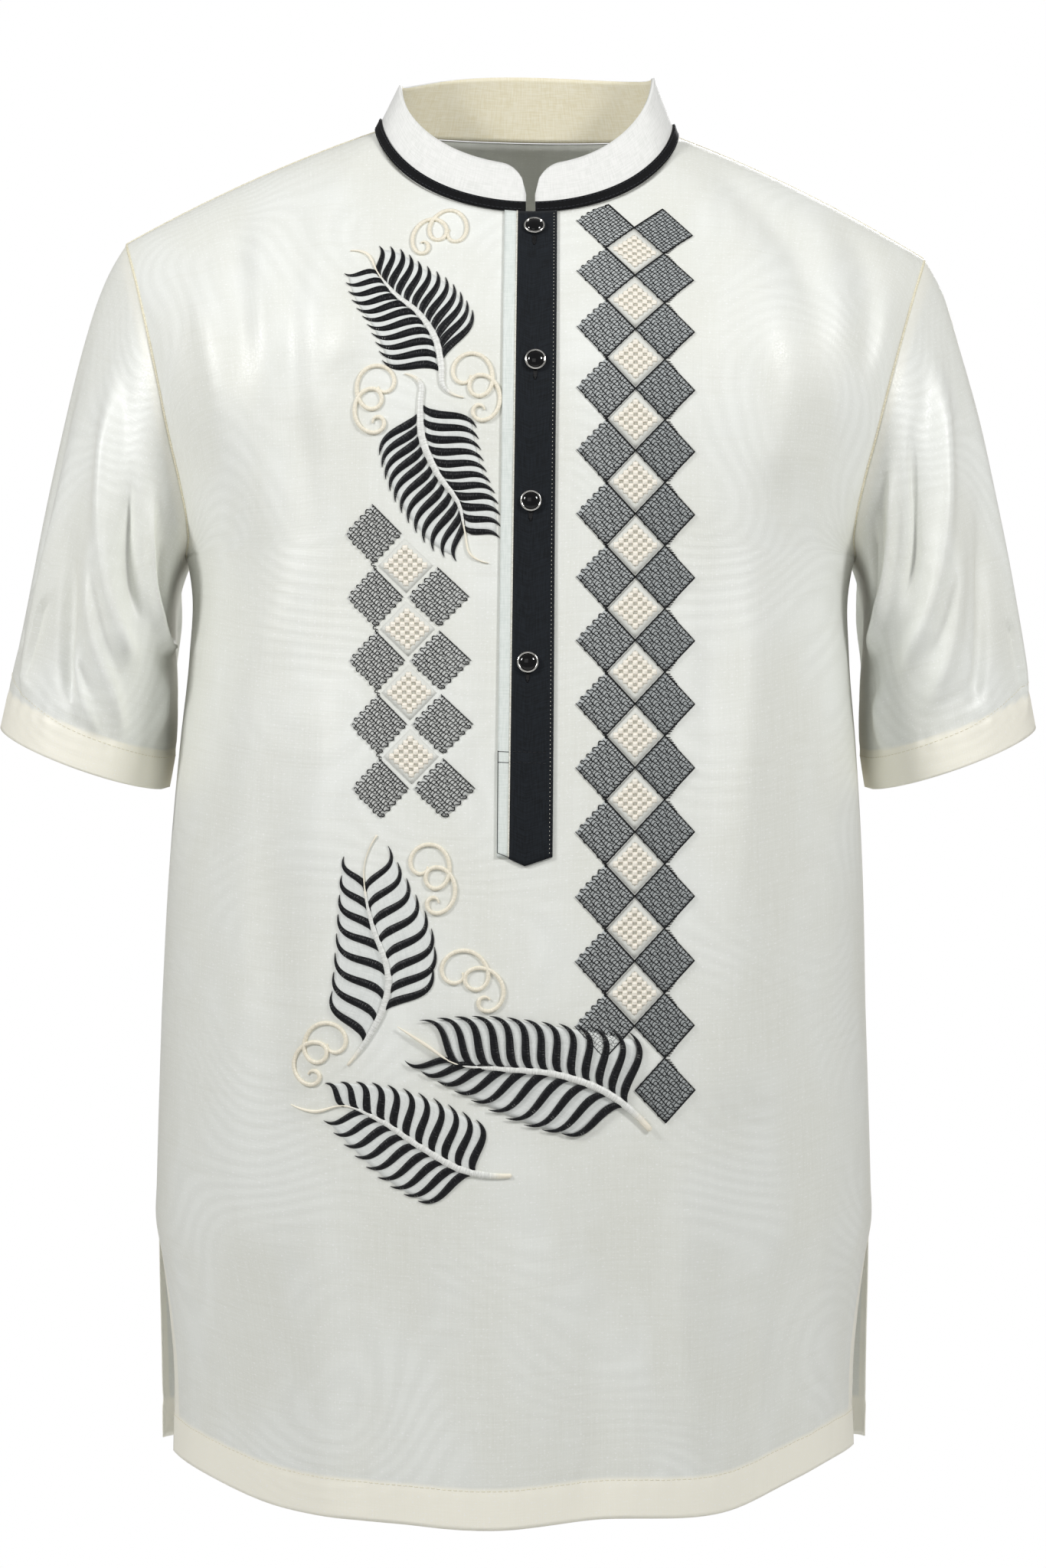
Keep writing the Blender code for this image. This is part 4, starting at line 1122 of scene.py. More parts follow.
def organza(name, body, hem):
    """Silk organza: plain-woven from fine, stiff, slubbed threads, so it is silky, cool white where
    single, and creamier where it is folded double at hems and seams. White flecks in its colour are
    painted glints."""
    sheen = {"Sheen_Weight": 0.2, "Sheen_Roughness": 0.4}
    finish, tree, shader = new_finish(name, 0.5, Specular_IOR_Level=0.6, **sheen)
    shader.inputs["Sheen Tint"].default_value = (1.0, 0.93, 0.78, 1.0)
    # Threads are 0.3 mm apart, drawn 1.2 mm apart so that they show
    weft = noise(tree, (26, 1.2), 2.0)
    warp = noise(tree, (1.2, 34), 2.0)
    # Slubs are thicker stretches of single threads, 60 to 90 mm long
    slub = noise(tree, (80, 3.4), 1.0)
    # Moire: where two layers lie close, their threads beat in wavy lines like wood grain
    bent = noise(tree, (120, 100), 0.0)
    height = add_node(tree, "SeparateXYZ", {"Vector": map_mm(tree, (2.9, 2.9))}).outputs["Y"]
    phase = add_node(tree, "Math", {0: bent, 1: 110.0, 2: height}, operation="MULTIPLY_ADD")
    wave = add_node(tree, "Math", {0: phase.outputs[0]}, operation="SINE").outputs[0]
    cloud = noise(tree, (60, 110), 2.0)
    shade = blend_colours(tree, spread(tree, cloud, 0.35, 0.68), linear(body), linear("#edefea"))
    dim = spread(tree, slub, 0.58, 0.72, 0.0, 0.12)
    shade = blend_colours(tree, dim, shade, linear("#dadacf"))
    grain = sum_of(tree, weft, warp)
    shade = blend_colours(tree, spread(tree, grain, 0.75, 1.25, 0.0, 0.2), shade, linear("#f6f8f4"))
    patchy = spread(tree, cloud, 0.4, 0.62, 0.0, 0.12)
    lines = add_node(tree, "Math", {0: spread(tree, wave, -1.0, 1.0), 1: patchy}, operation="MULTIPLY")
    shade = blend_colours(tree, lines.outputs[0], shade, linear("#c9cac2"))
    double = add_node(tree, "Attribute", attribute_name="double").outputs["Fac"]
    shade = blend_colours(tree, double, shade, linear(hem))
    # Painted glints: white flecks mixed into the colour where single flat threads would catch the light
    glint = noise(tree, (1.5, 1.1), 1.0)
    fleck = spread(tree, glint, 0.6, 0.75, 0.0, 0.5)
    shade = blend_colours(tree, fleck, shade, linear("#ffffff"))
    tree.links.new(shade, shader.inputs["Base Color"])
    rough = spread(tree, glint, 0.35, 0.65, 0.4, 0.56)
    tree.links.new(rough, shader.inputs["Roughness"])
    bump = relief(tree, wave, 0.15, 0.25, Normal=relief(tree, grain, 0.4, 0.14))
    tree.links.new(bump, shader.inputs["Normal"])
    return finish


def woven_cotton(name, colour, lighter, pitch=0.9, roughness=0.7, gloss=0.5):
    """Plain-woven cotton, crisp and matt: an even grid of threads that takes the light softly."""
    finish, tree, shader = new_finish(
        name, roughness, Sheen_Weight=0.3 * gloss, Sheen_Roughness=0.5, Specular_IOR_Level=gloss
    )
    # Threads are 0.4 mm apart, drawn at the given pitch so that they show
    weft = noise(tree, (9, pitch), 2.0)
    warp = noise(tree, (pitch, 9), 2.0)
    cloud = noise(tree, (22, 16), 3.0)
    weave = sum_of(tree, weft, warp)
    shade = blend_colours(tree, spread(tree, weave, 0.7, 1.3), linear(colour), linear(lighter))
    shade = blend_colours(tree, spread(tree, cloud, 0.4, 0.75, 0.0, 0.4), shade, linear(lighter))
    tree.links.new(shade, shader.inputs["Base Color"])
    tree.links.new(relief(tree, weave, 0.4, 0.15), shader.inputs["Normal"])
    return finish


def satin_thread(name, colour, lighter, ends=None, flecks=0.0, roughness=0.38, gloss=0.5, ribs=0.6):
    """Satin stitch in rayon: threads lie side by side across the stitch, and its colour runs in bars from
    colour to lighter: painted gleam on the threads, with painted shade in fine dark lines between them.
    ends is the colour where the attribute "cream" is 1, and ribs says how far the threads stand out."""
    finish, tree, shader = new_finish(name, roughness, Specular_IOR_Level=gloss)
    # Threads are 0.35 mm apart, drawn 0.8 mm apart so that they show
    thread = noise(tree, (7, 0.8), 1.0)
    fine = noise(tree, (2.4, 0.45), 1.0)
    bars = spread(tree, thread, 0.36, 0.64)
    # Painted gleam and painted shade: the colour runs from colour to lighter across the thread bars
    shade = blend_colours(tree, bars, linear(colour), linear(lighter))
    if ends:
        cream = add_node(tree, "Attribute", attribute_name="cream").outputs["Fac"]
        shade = blend_colours(tree, cream, shade, linear(ends))
    if flecks:
        # Loose fibres of the white ground catch in the stitches
        fleck = spread(tree, fine, 0.68, 0.76, 0.0, flecks)
        shade = blend_colours(tree, fleck, shade, linear("#d9dad6"))
    tree.links.new(shade, shader.inputs["Base Color"])
    both = sum_of(tree, bars, fine)
    tree.links.new(relief(tree, both, ribs, 0.18), shader.inputs["Normal"])
    return finish


def net_ground(name, light, dark, fleck):
    """Fine stitched net under the embroidery: a sprinkle of thread that tints the cloth. The attribute
    "tone" goes from its light to its dark colour."""
    finish, tree, shader = new_finish(name, 0.6, Sheen_Weight=0.1)
    # Holes are 0.5 mm apart, drawn 1.1 mm apart so that they show
    net = add_node(tree, "TexVoronoi", {"Vector": map_mm(tree, (1.1, 1.1)), "Scale": 1.0})
    grain = noise(tree, (0.8, 0.8), 2.0)
    tone = add_node(tree, "Attribute", attribute_name="tone").outputs["Fac"]
    shade = blend_colours(tree, tone, linear(light), linear(dark))
    hole = spread(tree, net.outputs["Distance"], 0.1, 0.6, 0.0, 0.35)
    shade = blend_colours(tree, hole, shade, linear(fleck))
    shade = blend_colours(tree, spread(tree, grain, 0.6, 0.75, 0.0, 0.5), shade, linear(fleck))
    tree.links.new(shade, shader.inputs["Base Color"])
    tree.links.new(relief(tree, grain, 0.4, 0.15), shader.inputs["Normal"])
    return finish


def polished(name, colour, roughness, metallic, scratch):
    """A hard polished surface, with faint cloudiness from handling."""
    finish, tree, shader = new_finish(name, roughness, metallic)
    shader.inputs["Base Color"].default_value = (*linear(colour), 1.0)
    place = add_node(tree, "TexCoord").outputs["Object"]
    # Handling marks are about 1.5 mm wide
    spots = add_node(tree, "TexNoise", {"Vector": place, "Scale": 1 / (1.5 * MM), "Detail": 3.0})
    worn = spread(tree, spots.outputs["Fac"], 0.35, 0.75, roughness, roughness + scratch)
    tree.links.new(worn, shader.inputs["Roughness"])
    return finish


class BarongSizes(bpy.types.PropertyGroup):
    """Sizes of the dressed cloth and thread, in millimetres."""

    cloth: bpy.props.FloatProperty(
        name="Cloth", description="Thickness of the cloth, in millimetres", default=0.6, min=0.2, max=1.2
    )
    welt: bpy.props.FloatProperty(
        name="Seam welt",
        description="Half width of a seam's raised line, in millimetres",
        default=0.7,
        min=0.2,
    )
    stitch: bpy.props.FloatProperty(
        name="Stitch", description="Length of a hem stitch, in millimetres", default=2.2, min=1.0, max=5.0
    )
    barb: bpy.props.FloatProperty(
        name="Leaf barb",
        description="Half width of a leaf's barbs, in millimetres",
        default=BARB_HALF,
        min=0.5,
    )
    cord: bpy.props.FloatProperty(
        name="Curl cord", description="Half width of the curls' cord, in millimetres", default=1.2, min=0.3
    )


class BarongColours(bpy.types.PropertyGroup):
    """Main colours of the cloth and thread."""

    cloth: bpy.props.StringProperty(
        name="Organza", description="Colour of the single cloth, as sRGB hex", default="#e5e6de"
    )
    hem: bpy.props.StringProperty(
        name="Doubled organza",
        description="Colour where the cloth is doubled, as sRGB hex",
        default="#faf7e9",
    )
    dark_thread: bpy.props.StringProperty(
        name="Dark thread", description="Colour of the dark embroidery, as sRGB hex", default="#07080a"
    )
    cream_thread: bpy.props.StringProperty(
        name="Cream thread", description="Colour of the cream embroidery, as sRGB hex", default="#f6efdd"
    )
    light: bpy.props.FloatVectorProperty(
        name="Light", description="Colour of the studio light", subtype="COLOR", default=(1.0, 1.0, 1.0)
    )


def hem_rows(count_hem, count_rest):
    """Shares from hem to underarm, close together over the turned-up hem."""
    hem_end = 1.5 * HEM_DEPTH / (UNDERARM_Z - HEM_Z)
    low = np.linspace(0, hem_end, count_hem, endpoint=False)
    return np.concatenate([low, np.linspace(hem_end, 1, count_rest)])


def hem_relief(from_hem, along):
    """Turned-up hem: it stands out a little, and its stitching draws the cloth in, in small puckers."""
    band = 0.3 * (1 - smooth_step((from_hem - HEM_DEPTH) / 2.5))
    groove = -0.45 * np.exp(-(((from_hem - HEM_DEPTH) / 2.2) ** 2))
    pucker = 0.3 * np.sin(along / 2.1 + np.sin(along / 9)) * np.exp(-(((from_hem - HEM_DEPTH) / 8) ** 2))
    return band + groove + pucker


def dressed_panel(side):
    """Grid of a panel with its hem, before the stance, its normals, and how far it is doubled: at the
    hem, and in the allowances of the side seams and vents."""
    front = side == FRONT
    beside, neck, hem_count, low_count, high_count = PANEL_COUNTS[side]
    lower = hem_rows(hem_count, low_count)
    upper = np.linspace(0, 1, high_count)[1:]
    points = panel_points(side, lower, upper, beside, neck)
    from_hem = ways_along(points, 0)
    from_left = ways_along(points, 1)
    from_edge = np.minimum(from_left, from_left[:, -1:] - from_left)
    hem = 1 - smooth_step((from_hem - HEM_DEPTH + 0.6) / 1.6)
    below = smooth_step((UNDERARM_Z + 15 - points[..., 2]) / 30)
    edge = 0.8 * below * (1 - smooth_step((from_edge - 11) / 3))
    normals = outward(points) * (1 if front else -1)
    points = points + normals * hem_relief(from_hem, points[..., 0])[..., None]
    skip = (int(np.searchsorted(lower, SLIT_ROW)), beside + neck // 2) if front else None
    return points, normals, np.maximum(hem, edge), skip


def dressed_sleeve(hand):
    """Grid of a sleeve with its hem, before the stance, its normals, and how far it is doubled."""
    rows = np.concatenate([np.linspace(0, 0.86, 70, endpoint=False), np.linspace(0.86, 1, 20)])
    points, angles = sleeve_points(hand, 104, rows)
    from_cuff = ways_along(points, 0)
    hem = 1 - smooth_step((from_cuff - HEM_DEPTH + 0.6) / 1.6)
    seam = 0.4 * (1 - smooth_step((from_cuff[-1:] - from_cuff - 3) / 9))
    normals = -outward(points, closed=True)
    points = points + normals * hem_relief(from_cuff, angles[None, :] * 60)[..., None]
    sign = np.array([1.0 if hand == "left" else -1.0, 1.0, 1.0])
    return points * sign, normals * sign, np.maximum(hem, seam)


class BARONG_OT_panels(bpy.types.Operator):
    """Front and back panels: thin organza on the part's own form, with listed folds"""

    bl_idname = "barong.panels"
    bl_label = "Front and back"

    def execute(self, context):
        sizes, colours = context.scene.barong_sizes, context.scene.barong_colours
        finish = organza("silk_organza_body", colours.cloth, colours.hem)
        for name, side, node, flat in (
            ("front_cloth", FRONT, "front_panel", (0.61, 0.83)),
            ("back_cloth", BACK, "back_panel", (0.56, 0.85)),
        ):
            points, _, double, skip = dressed_panel(side)
            mesh = cloth_mesh(name, stance(points), flip=side == BACK, skip=skip, fields={"double": double})
            piece = add_piece(name, mesh, finish)
            thicken(piece, sizes.cloth)
            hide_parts(node)
        return {"FINISHED"}


class BARONG_OT_sleeves(bpy.types.Operator):
    """Sleeves: open tubes of organza from armhole to cuff, each with its own folds"""

    bl_idname = "barong.sleeves"
    bl_label = "Sleeves"

    def execute(self, context):
        sizes, colours = context.scene.barong_sizes, context.scene.barong_colours
        finish = organza("silk_organza_sleeve", colours.cloth, colours.hem)
        for node, hand in (("sleeve_left", "left"), ("sleeve_right", "right")):
            points, _, double = dressed_sleeve(hand)
            mesh = cloth_mesh(
                node + "_cloth", stance(points), flip=hand == "left", closed=True, fields={"double": double}
            )
            piece = add_piece(node + "_cloth", mesh, finish)
            thicken(piece, sizes.cloth)
            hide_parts(node)
        return {"FINISHED"}


def seam_lines():
    """Lines of (points, normals) of the armhole, shoulder and side seams, before the stance."""
    loop = armhole_loop(70)
    loop = np.roll(loop, -70, axis=0)
    loop = np.concatenate([loop, loop[:1]])
    x = np.linspace(NECK_HALF + 0.5, 228.5, 141)
    shoulder = np.stack([x, 0 * x, ridge(x)], axis=1)
    z = np.linspace(UNDERARM_Z - 2, EDGES[1][0], 141)
    side = np.stack([section(FRONT, "half", z), 0 * z, z], axis=1)
    lines = []
    for sign in (-1.0, 1.0):
        mirror = np.array([sign, 1.0, 1.0])
        lines.append((loop * mirror, (loop - loop.mean(axis=0)) * mirror))
        lines.append((shoulder * mirror, np.broadcast_to((0.0, 0.0, 1.0), shoulder.shape)))
        lines.append((side * mirror, np.broadcast_to((sign, 0.0, 0.0), side.shape)))
    return lines


class BARONG_OT_seams(bpy.types.Operator):
    """Seams: raised welts at armholes, shoulders and sides, and running stitches at hem and cuffs"""

    bl_idname = "barong.seams"
    bl_label = "Seams"

    def execute(self, context):
        sizes, colours = context.scene.barong_sizes, context.scene.barong_colours
        welt = satin_thread("pressed_organza_welt", "#dcd5b8", "#efe9d2", roughness=0.5)
        paths, normals = joined(seam_lines(), np.stack)
        half, high = sizes.welt, sizes.welt * 0.8
        add_threads("seam_welts", stance(paths), unit(normals), half, high, welt, "front_panel", ring=8)

        thread = satin_thread("cotton_sewing_thread", "#d8d0b4", "#f2edd9", roughness=0.55)
        grids = [dressed_panel(side)[:2] for side in (FRONT, BACK)]
        grids += [dressed_sleeve(hand)[:2] for hand in ("left", "right")]
        rows = []
        for points, outer in grids:
            row = np.abs(ways_along(points, 0).mean(axis=1) - HEM_DEPTH).argmin()
            rows.append((stance(points[row]), outer[row]))
        add_stitches("hem_stitches", rows, sizes.stitch, 0.9, 0.16, thread)
        return {"FINISHED"}


class BARONG_OT_collar(bpy.types.Operator):
    """Stand collar: a crisp white band with a cream inside, and its black trim along the seam"""

    bl_idname = "barong.collar"
    bl_label = "Collar"

    def execute(self, context):
        white = woven_cotton("white_poplin_band", "#e1e2de", "#efefec", roughness=0.6)
        cream = woven_cotton("cream_poplin_lining", "#ece3c4", "#f6f0da")
        black = woven_cotton("black_poplin_trim", "#050506", "#0e0f12", pitch=0.8, gloss=0.15)
        band = collar_points(COLLAR_SEAM, 0.0, 16, by_height=True)
        mesh = cloth_mesh("collar_band_cloth", stance(band))
        piece = add_piece("collar_band_cloth", mesh, white)
        mesh.materials.append(cream)
        thicken(piece, COLLAR_CLOTH, inner_slot=1)
        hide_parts("collar_band")
        mesh = cloth_mesh("collar_trim_cloth", trim_points()[0])
        piece = add_piece("collar_trim_cloth", mesh, black)
        thicken(piece, STRIP)
        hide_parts("collar_trim")
        return {"FINISHED"}


class BARONG_OT_placket(bpy.types.Operator):
    """Half placket: the black strip with its blunt point, and the pale facing beside it"""

    bl_idname = "barong.placket"
    bl_label = "Placket"

    def execute(self, context):
        black = woven_cotton("black_poplin_placket", "#0a0e12", "#181d23", pitch=0.8, gloss=0.2)
        pale = woven_cotton("pale_organza_facing", "#d8dfda", "#e6ebe7", roughness=0.5)
        columns = np.linspace(0, 1, 12)
        slope = np.interp(columns, (0.0, PLACKET_POINT_SHARE, 1.0), (0.2, 1.0, 0.0))
        for name, top, end, end_z, across, finish, node in (
            (
                "placket_cloth",
                PLACKET_TOP_X,
                PLACKET_END_X,
                PLACKET_END_Z - PLACKET_POINT * slope,
                columns,
                black,
                "placket",
            ),
            (
                "placket_facing_cloth",
                FACING_TOP_X,
                FACING_END_X,
                PLACKET_END_Z + np.zeros(4),
                np.linspace(0, 1, 4),
                pale,
                "placket_facing",
            ),
        ):
            x, z = strip_points(top, end, end_z, across, 150)
            points, _ = front_points(x, z, np.full(x.shape, STRIP_TOP))
            mesh = cloth_mesh(name, points)
            piece = add_piece(name, mesh, finish)
            thicken(piece, STRIP)
            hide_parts(node)
        return {"FINISHED"}


def laid_line(start, end, count, lift=STRIP_TOP):
    """A straight line over the front from one (x, z) to another: its points and normals."""
    share = np.linspace(0, 1, count)
    return front_points(
        start[0] + (end[0] - start[0]) * share, start[1] + (end[1] - start[1]) * share, lift
    )


class BARONG_OT_edging(bpy.types.Operator):
    """Sewing on the black strips: edge stitches, the facing's outline and the placket's cross seams"""

    bl_idname = "barong.edging"
    bl_label = "Edge stitching"

    def execute(self, context):
        colours = context.scene.barong_colours
        black = satin_thread("black_cotton_thread", "#08090b", "#1b1d21", roughness=0.5)
        grey = satin_thread("black_cotton_topstitch", "#1d1f25", "#34373f", roughness=0.5)
        cream = satin_thread("cream_cotton_thread", "#d9d6c8", "#f4f2e8", roughness=0.5)

        def side_line(across, inset, rows=160):
            x, z = strip_points(PLACKET_TOP_X, PLACKET_END_X, PLACKET_END_Z, [across], rows)
            return front_points(x[:, 0] + inset, z[:, 0], STRIP_TOP)

        edge = side_line(1.0, -1.7)
        add_stitches("placket_dots", [edge], 0.45, 1.9, 0.17, cream)
        edge = side_line(1.0, -0.8)
        add_stitches("placket_edge_stitches", [edge], 1.9, 0.7, 0.2, black)
        line, normals = side_line(0.0, -0.25)
        add_threads("facing_edge_cord", line[None], normals[None], 0.42, 0.35, cream, "front_panel")

        top, low = CROSS_SEAMS
        left, foot = FACING_OUTLINE
        solid = [
            laid_line((left, top), (PLACKET_END_X[0], top - 0.3), 24),
            laid_line((left, low), (PLACKET_END_X[0], low - 0.3), 24),
            laid_line((left, top + 0.4), (left + 0.5, foot), 24),
            laid_line((left + 0.5, foot), (PLACKET_END_X[0], foot - 2.6), 24),
        ]
        add_threads("facing_outline", *joined(solid, np.stack), 0.2, 0.2, black, "placket")
        across = PLACKET_END_X[1] - 1.0
        dashes = [laid_line((PLACKET_END_X[0] + 0.6, z), (across, z - 1.0), 24) for z in CROSS_SEAMS]
        add_stitches("placket_cross_seams", dashes, 1.9, 0.8, 0.2, black)

        laid, normals = trim_points()
        rows = [(laid[k], normals[k]) for k in (1, 5)]
        add_stitches("collar_trim_stitches", rows, 1.8, 0.7, 0.17, grey)
        return {"FINISHED"}


class BARONG_OT_buttons(bpy.types.Operator):
    """Buttons: each is a glossy black dome in a bright ring, with the end of its buttonhole below"""

    bl_idname = "barong.buttons"
    bl_label = "Buttons"

    def execute(self, context):
        glass = polished("black_moulded_glass", "#040405", 0.06, 0.0, 0.05)
        steel = polished("polished_silver_plate", "#e6e4df", 0.12, 1.0, 0.12)
        tack_thread = satin_thread("black_buttonhole_twist", "#030304", "#101113", roughness=0.5, gloss=0.25)
        around = np.radians(np.linspace(0, 75, 14))[:, None]
        over = np.hstack([DOME_RADIUS * np.sin(around), DOME_HEIGHT * (0.25 + 0.75 * np.cos(around))])
        dome = np.concatenate([over, [(DOME_RADIUS, 0.35), (DOME_RADIUS - 0.3, 0.0), (0.0, 0.0)]])
        turn = np.radians(90 - np.linspace(0, 360, 16, endpoint=False))[:, None]
        half = (RIM_OUTER - RIM_INNER) / 2
        middle = (RIM_OUTER + RIM_INNER) / 2
        ring = np.hstack([middle + half * np.cos(turn), RIM_HEIGHT / 2 * (1 + np.sin(turn))])
        ends = []
        for n, (x, z) in enumerate(BUTTONS, 1):
            seat, normal = front_points(x, z, STRIP_TOP + BUTTON_LIFT)
            for node, profile, finish in (
                (f"button_dome_{n}", dome, glass),
                (f"button_rim_{n}", ring, steel),
            ):
                piece = add_piece(node + "_cap", turned_mesh(node, profile, 48, seat, normal), finish)
                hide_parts(node)
            for shift in (-1.0, 0.0, 1.0):
                foot = (x + 0.5 * shift, z - 10.8 + abs(shift))
                ends.append(laid_line((x + 0.8 * shift, z - 5.4), foot, 12))
        add_threads("buttonhole_ends", *joined(ends, np.stack), 0.55, 0.5, tack_thread, "placket")
        return {"FINISHED"}


class BARONG_OT_leaves(bpy.types.Operator):
    """Leaves: padded black satin barbs on a silvery stem, over a thin pale backing"""

    bl_idname = "barong.leaves"
    bl_label = "Embroidered leaves"

    def execute(self, context):
        sizes, colours = context.scene.barong_sizes, context.scene.barong_colours
        black = satin_thread("black_rayon_satin", colours.dark_thread, "#16171b", flecks=0.4, gloss=0.25)
        cream_ends = colours.cream_thread
        silver = satin_thread("silver_rayon_satin", "#d9dad5", "#eeefeb", ends=cream_ends, ribs=0.25)
        backing = woven_cotton("pale_stitch_backing", "#d9dcd9", "#e6e9e6", roughness=0.55)
        steps, stem_steps, patch_rows, patch_columns = 28, 90, 25, 10
        barbs, stems, patches = [], [], []
        for rachis, sides, lift in LEAVES:
            stem = [(x, z) for x, z, _ in rachis]
            for tips, count, ends, swing, crossing in sides:
                flat = barb_paths(stem, tips, count, ends, swing, crossing, steps)
                first = np.minimum(0.78 + 0.11 * np.arange(count), 1.0)[:, None]
                points, normals = front_points(flat[..., 0], flat[..., 1], BARB_LIFT + lift)
                barbs.append((points, normals, sizes.barb * first * barb_share(steps)))
                rows = np.linspace(0, count - 1, patch_rows)
                columns = np.linspace(0, 0.88 * (steps - 1), patch_columns)
                lower = np.minimum(rows.astype(int), count - 2)
                mix = (rows - lower)[:, None, None]
                sheet = flat[lower] * (1 - mix) + flat[lower + 1] * mix
                at = columns.astype(int)
                part = (columns - at)[None, :, None]
                sheet = sheet[:, at] * (1 - part) + sheet[:, at + 1] * part
                across, up = sheet[:, -1] - sheet[:, 0], sheet[-1] - sheet[0]
                if np.cross(across.mean(axis=0), up.mean(axis=0)) < 0:
                    sheet = sheet[::-1]
                low = BACKING_LIFT + 0.3 * lift
                patches.append(front_points(sheet[..., 0], sheet[..., 1], low)[0])
            line = smooth_path(rachis, stem_steps)
            share = np.linspace(0, 1, stem_steps)
            tip = np.linalg.norm(line[:, :2] - stem[2], axis=1).argmin() / stem_steps
            cream = np.maximum(1 - smooth_step((share - tip) / 0.06), smooth_step((share - 0.9) / 0.08))
            points, normals = front_points(line[:, 0], line[:, 1], STEM_LIFT + lift)
            stems.append((points, normals, np.maximum(1.2 * line[:, 2], 0.2), cream))
        paths, normals, widths = joined(barbs)
        heights = 0.2 + 0.32 * widths
        add_threads("leaf_barbs", paths, normals, widths, heights, black, "placket", ring=8)
        paths, normals, widths, cream = joined(stems, np.stack)
        heights = 0.3 + 0.45 * widths
        more = {"ring": 8, "fields": {"cream": cream}}
        add_threads("leaf_stems", paths, normals, widths, heights, silver, "collar_band", **more)
        mesh = patch_mesh("leaf_backing", np.stack(patches))
        piece = add_piece("leaf_backing", mesh, backing)
        thicken(piece, 0.15)
        return {"FINISHED"}


class BARONG_OT_curls(bpy.types.Operator):
    """Curls: one cream satin cord each, laid in loops"""

    bl_idname = "barong.curls"
    bl_label = "Embroidered curls"

    def execute(self, context):
        sizes, colours = context.scene.barong_sizes, context.scene.barong_colours
        cream = satin_thread("cream_rayon_cord", "#ebe4d0", colours.cream_thread, ribs=0.35)
        steps = 150
        share = np.linspace(0, 1, steps)
        taper = 0.45 + 0.55 * smooth_step(share / 0.12) * smooth_step((1 - share) / 0.12)
        lines = []
        for x, z, width, height, turn, mirrored in CURLS:
            path = curl_path(width, height, turn, mirrored, steps)
            lines.append(front_points(x + path[:, 0], z + path[:, 1], CORD_LIFT + 0.3 * share))
        paths, normals = joined(lines, np.stack)
        half, high = sizes.cord * taper, 0.8 * sizes.cord * taper
        add_threads("curl_cords", paths, normals, half, high, cream, "front_panel")
        return {"FINISHED"}


def diamond_edges(lattice, centres, half, widths, steps=18):
    """The edge threads of each diamond that have a width: their points, normals and half widths."""
    way = np.linspace(-0.5, 0.5, steps)
    fixed = np.full(steps, 0.5)
    sides = ((way, -fixed), (fixed, way), (way, fixed), (-fixed, way))
    lines = []
    for (u, v), width in zip(sides, widths):
        if width:
            points, normals = diamond_points(lattice, centres, half, u, v, EDGE_LIFT)
            lines.append((points, normals, np.full((len(points), steps), width)))
    return lines


